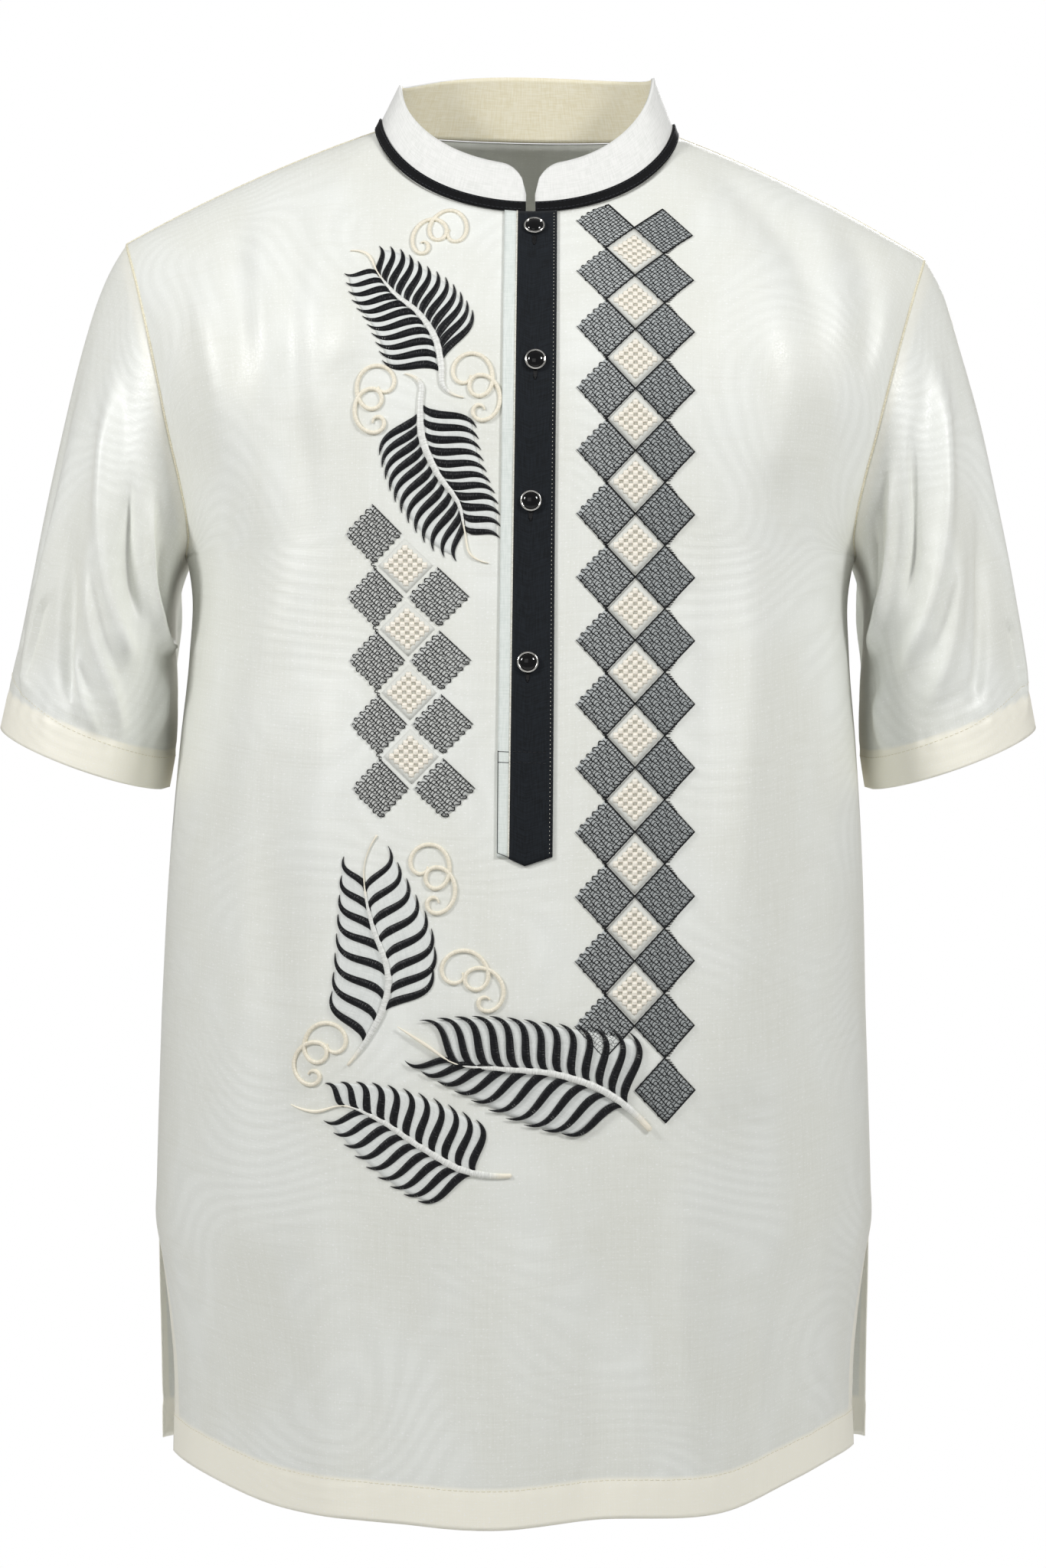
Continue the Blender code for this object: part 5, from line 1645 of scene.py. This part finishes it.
class BARONG_OT_lattices(bpy.types.Operator):
    """Lattices: dark diamonds filled with one winding thread, and light ones filled with cream pads"""

    bl_idname = "barong.lattices"
    bl_label = "Embroidered lattices"

    def execute(self, context):
        colours = context.scene.barong_colours
        black = satin_thread("black_rayon_thread", colours.dark_thread, "#17181b", roughness=0.5, gloss=0.2)
        cream = satin_thread("cream_rayon_pads", "#efe7d6", "#fffaf0", roughness=0.42)
        grounds = {
            "right": net_ground("grey_stitched_net", "#aeb3b3", "#9ea4a5", "#cdd0cf"),
            "left": net_ground("pale_stitched_net", "#cbcdca", "#c6c9c6", "#dedfdb"),
        }
        pale = net_ground("pale_light_ground", "#dcddd6", "#a9a594", "#e4e5df")
        u_thread, v_thread = meander(10)
        span = np.array([-0.49, -0.38, -0.36, -0.18, 0.0, 0.18, 0.36, 0.38, 0.49])
        u_grid, v_grid = np.meshgrid(span, span)
        under_pads = (np.maximum(np.abs(u_grid), np.abs(v_grid)) < 0.37).astype(float)
        edges, pads, lights, laces = [], [], [], []
        for name, lattice in LATTICES.items():
            left_offset, right_offset = lattice[4:6]
            left_steps, right_steps, light_steps = LATTICE_STEPS[name]
            threads, sheets, tones = [], [], []
            for column, (steps_down, offset) in enumerate(
                ((left_steps, left_offset), (right_steps, right_offset))
            ):
                centres = [(k, offset) for k in steps_down]
                half = abs(offset)
                place = (lattice, centres, half)
                threads.append(diamond_points(*place, u_thread, v_thread, MEANDER_LIFT))
                sheets.append(diamond_points(*place, u_grid, v_grid, NET_LIFT)[0])
                # Tone 1 darkens the right column's net: its threads lie denser, and painted shade is added
                # there
                tones.append(np.full(sheets[-1].shape[:3], float(column)))
                edges += diamond_edges(lattice, centres, half, EDGE_THREADS[name][column])
            both = (THREAD_HALF, THREAD_HALF)
            add_threads(f"meander_{name}", *joined(threads), *both, black, "placket", ring=3)
            mesh = patch_mesh(f"net_{name}", np.concatenate(sheets), {"tone": np.concatenate(tones)})
            piece = add_piece(f"net_{name}", mesh, grounds[name])
            thicken(piece, 0.2)

            half = (right_offset - left_offset) / 2
            cells = [(k + 0.5, (right_offset + left_offset) / 2) for k in light_steps]
            inner = (u_grid * LIGHT_SHARE, v_grid * LIGHT_SHARE)
            lights.append(diamond_points(lattice, cells, half, *inner, LIGHT_LIFT)[0])
            pads.append(self.pad_points(lattice, cells))
            laces += self.lace(name, lattice)
        paths, normals, widths = joined(edges)
        add_threads("diamond_edges", paths, normals, widths, 0.1 + 0.7 * widths, black, "placket")
        mesh = patch_mesh("light_grounds", np.concatenate(lights), {"tone": under_pads})
        piece = add_piece("light_grounds", mesh, pale)
        thicken(piece, 0.15)
        piece = add_piece("light_pads", patch_mesh("light_pads", np.concatenate(pads)), cream)
        thicken(piece, 0.3)
        add_threads("lattice_laces", *joined(laces), 0.2, 0.2, black, "placket", ring=4)
        return {"FINISHED"}

    def pad_points(self, lattice, cells):
        """Small cream pads of a light diamond, in every second place of a grid, which leaves holes in the
        others. Each is flat on top with steep sides, at height (1 - p ** 6) (1 - q ** 6)."""
        reach = range(-PAD_REACH, PAD_REACH + 1)
        places = [(i, j) for i in reach for j in reach if abs(i) + abs(j) <= PAD_REACH and (i + j) % 2 == 0]
        span = np.array([-1.0, -0.82, 0.0, 0.82, 1.0])
        p, q = np.meshgrid(span, span)
        across, down = ((np.array(places) * PILLOW_STEP)[:, k, None, None] for k in range(2))
        across = across + PILLOW_STEP[0] * PILLOW_HALF[0] * p
        down = down - PILLOW_STEP[1] * PILLOW_HALF[1] * q
        lift = 0.3 + 0.75 * (1 - p**6) * (1 - q**6)
        cells = np.array(cells)[:, :, None, None, None]
        steps_down = cells[:, 0] + down / lattice_value(lattice, "pitch")
        points, _ = lattice_points(lattice, steps_down, cells[:, 1] + across, lift)
        return points.reshape(-1, len(span), len(span), 3)

    def lace(self, name, lattice):
        """Short strokes that fan out beside the joins of the right-hand diamonds, and in the other column
        small hooks at its joins."""
        left_offset, right_offset = lattice[4:6]
        pitch = lattice_value(lattice, "pitch")
        left_steps, right_steps, _ = LATTICE_STEPS[name]
        way = np.linspace(0, 1, 8)
        lines = []
        for k in list(right_steps)[:-1] if name == "right" else ():
            places = np.concatenate([np.linspace(-5.2, -0.9, 5), np.linspace(0.9, 5.2, 5)])[:, None]
            across = right_offset + 0.85 * np.abs(places) + 2.3 * way
            down = k + 0.5 + (places * (1 + 0.22 * way)) / pitch
            lines.append(lattice_points(lattice, down, across, LACE_LIFT))
        for k in list(left_steps)[:-1]:
            turn = np.linspace(0.4, 2 * np.pi - 0.4, 8)
            across = left_offset + np.array([[-1.0], [1.0]]) * 0.6 + 0.75 * np.cos(turn)
            down = k + 0.5 + np.array([[-0.9], [0.9]]) / pitch + 0.9 * np.sin(turn) / pitch
            lines.append(lattice_points(lattice, down, across, LACE_LIFT))
        return lines


def area_light(name, place, aim, size, power, colour):
    data = bpy.data.lights.new(name, "AREA")
    data.shape = "RECTANGLE"
    data.size = data.size_y = size
    data.energy = power
    data.color = colour
    lamp = bpy.data.objects.new(name, data)
    lamp.location = place
    direction = np.array(aim) - np.array(place)
    flat = math.hypot(direction[0], direction[1])
    turn = math.atan2(direction[1], direction[0]) - math.pi / 2
    lamp.rotation_euler = (math.atan2(flat, -direction[2]), 0.0, turn)
    bpy.context.scene.collection.objects.link(lamp)


class BARONG_OT_stage(bpy.types.Operator):
    """Stage: camera at the photograph's angle, soft studio light, white surroundings and a pale floor"""

    bl_idname = "barong.stage"
    bl_label = "Stage"

    def execute(self, context):
        scene = context.scene
        data = bpy.data.cameras.new("view")
        data.lens = CAMERA_LENS
        camera = bpy.data.objects.new("view", data)
        camera.location = CAMERA_PLACE
        camera.rotation_euler = (math.pi / 2, 0.0, 0.0)
        scene.collection.objects.link(camera)
        scene.camera = camera
        scene.view_settings.view_transform = "Standard"

        world = bpy.data.worlds.new("white_studio")
        world.use_nodes = True
        tree = world.node_tree
        seen = add_node(tree, "LightPath").outputs["Is Camera Ray"]
        inputs = {"Value": seen, "To Min": 0.25, "To Max": 1.0}
        strength = add_node(tree, "MapRange", inputs).outputs["Result"]
        tree.links.new(strength, tree.nodes["Background"].inputs["Strength"])
        tree.nodes["Background"].inputs["Color"].default_value = (1.0, 1.0, 1.0, 1.0)
        scene.world = world

        light = scene.barong_colours.light
        for lamp in LIGHTS:
            area_light(*lamp, light)

        finish, _, shader = new_finish("painted_floor", 0.9)
        shader.inputs["Base Color"].default_value = (*linear("#f4f4f2"), 1.0)
        angle = np.linspace(0, 2 * np.pi, 96, endpoint=False)
        east, north = FLOOR_RADIUS * np.cos(angle), FLOOR_RADIUS * np.sin(angle)
        rim = np.stack([east, north, np.full_like(angle, FLOOR_Z)], axis=1)
        mesh = bpy.data.meshes.new("floor")
        mesh.from_pydata((rim * MM).tolist(), [], [list(range(len(rim)))])
        floor = bpy.data.objects.new("floor", mesh)
        mesh.materials.append(finish)
        scene.collection.objects.link(floor)
        return {"FINISHED"}


class BARONG_PT_pieces(bpy.types.Panel):
    """Lists the steps that dress the shirt"""

    bl_idname = "BARONG_PT_pieces"
    bl_label = "Barong tagalog"
    bl_space_type = "VIEW_3D"
    bl_region_type = "UI"
    bl_category = "Barong"

    def draw(self, context):
        for step in STEPS:
            self.layout.operator(step.bl_idname)


STEPS = (
    BARONG_OT_stage,
    BARONG_OT_panels,
    BARONG_OT_sleeves,
    BARONG_OT_seams,
    BARONG_OT_collar,
    BARONG_OT_placket,
    BARONG_OT_edging,
    BARONG_OT_buttons,
    BARONG_OT_leaves,
    BARONG_OT_curls,
    BARONG_OT_lattices,
)
CLASSES = (BarongSizes, BarongColours, *STEPS, BARONG_PT_pieces)


def register():
    for entry in CLASSES:
        bpy.utils.register_class(entry)
    bpy.types.Scene.barong_sizes = bpy.props.PointerProperty(type=BarongSizes)
    bpy.types.Scene.barong_colours = bpy.props.PointerProperty(type=BarongColours)


def unregister():
    del bpy.types.Scene.barong_colours
    del bpy.types.Scene.barong_sizes
    for entry in reversed(CLASSES):
        bpy.utils.unregister_class(entry)


def main():
    register()
    for step in STEPS:
        group, name = step.bl_idname.split(".")
        getattr(getattr(bpy.ops, group), name)()


if __name__ == "__main__":
    main()
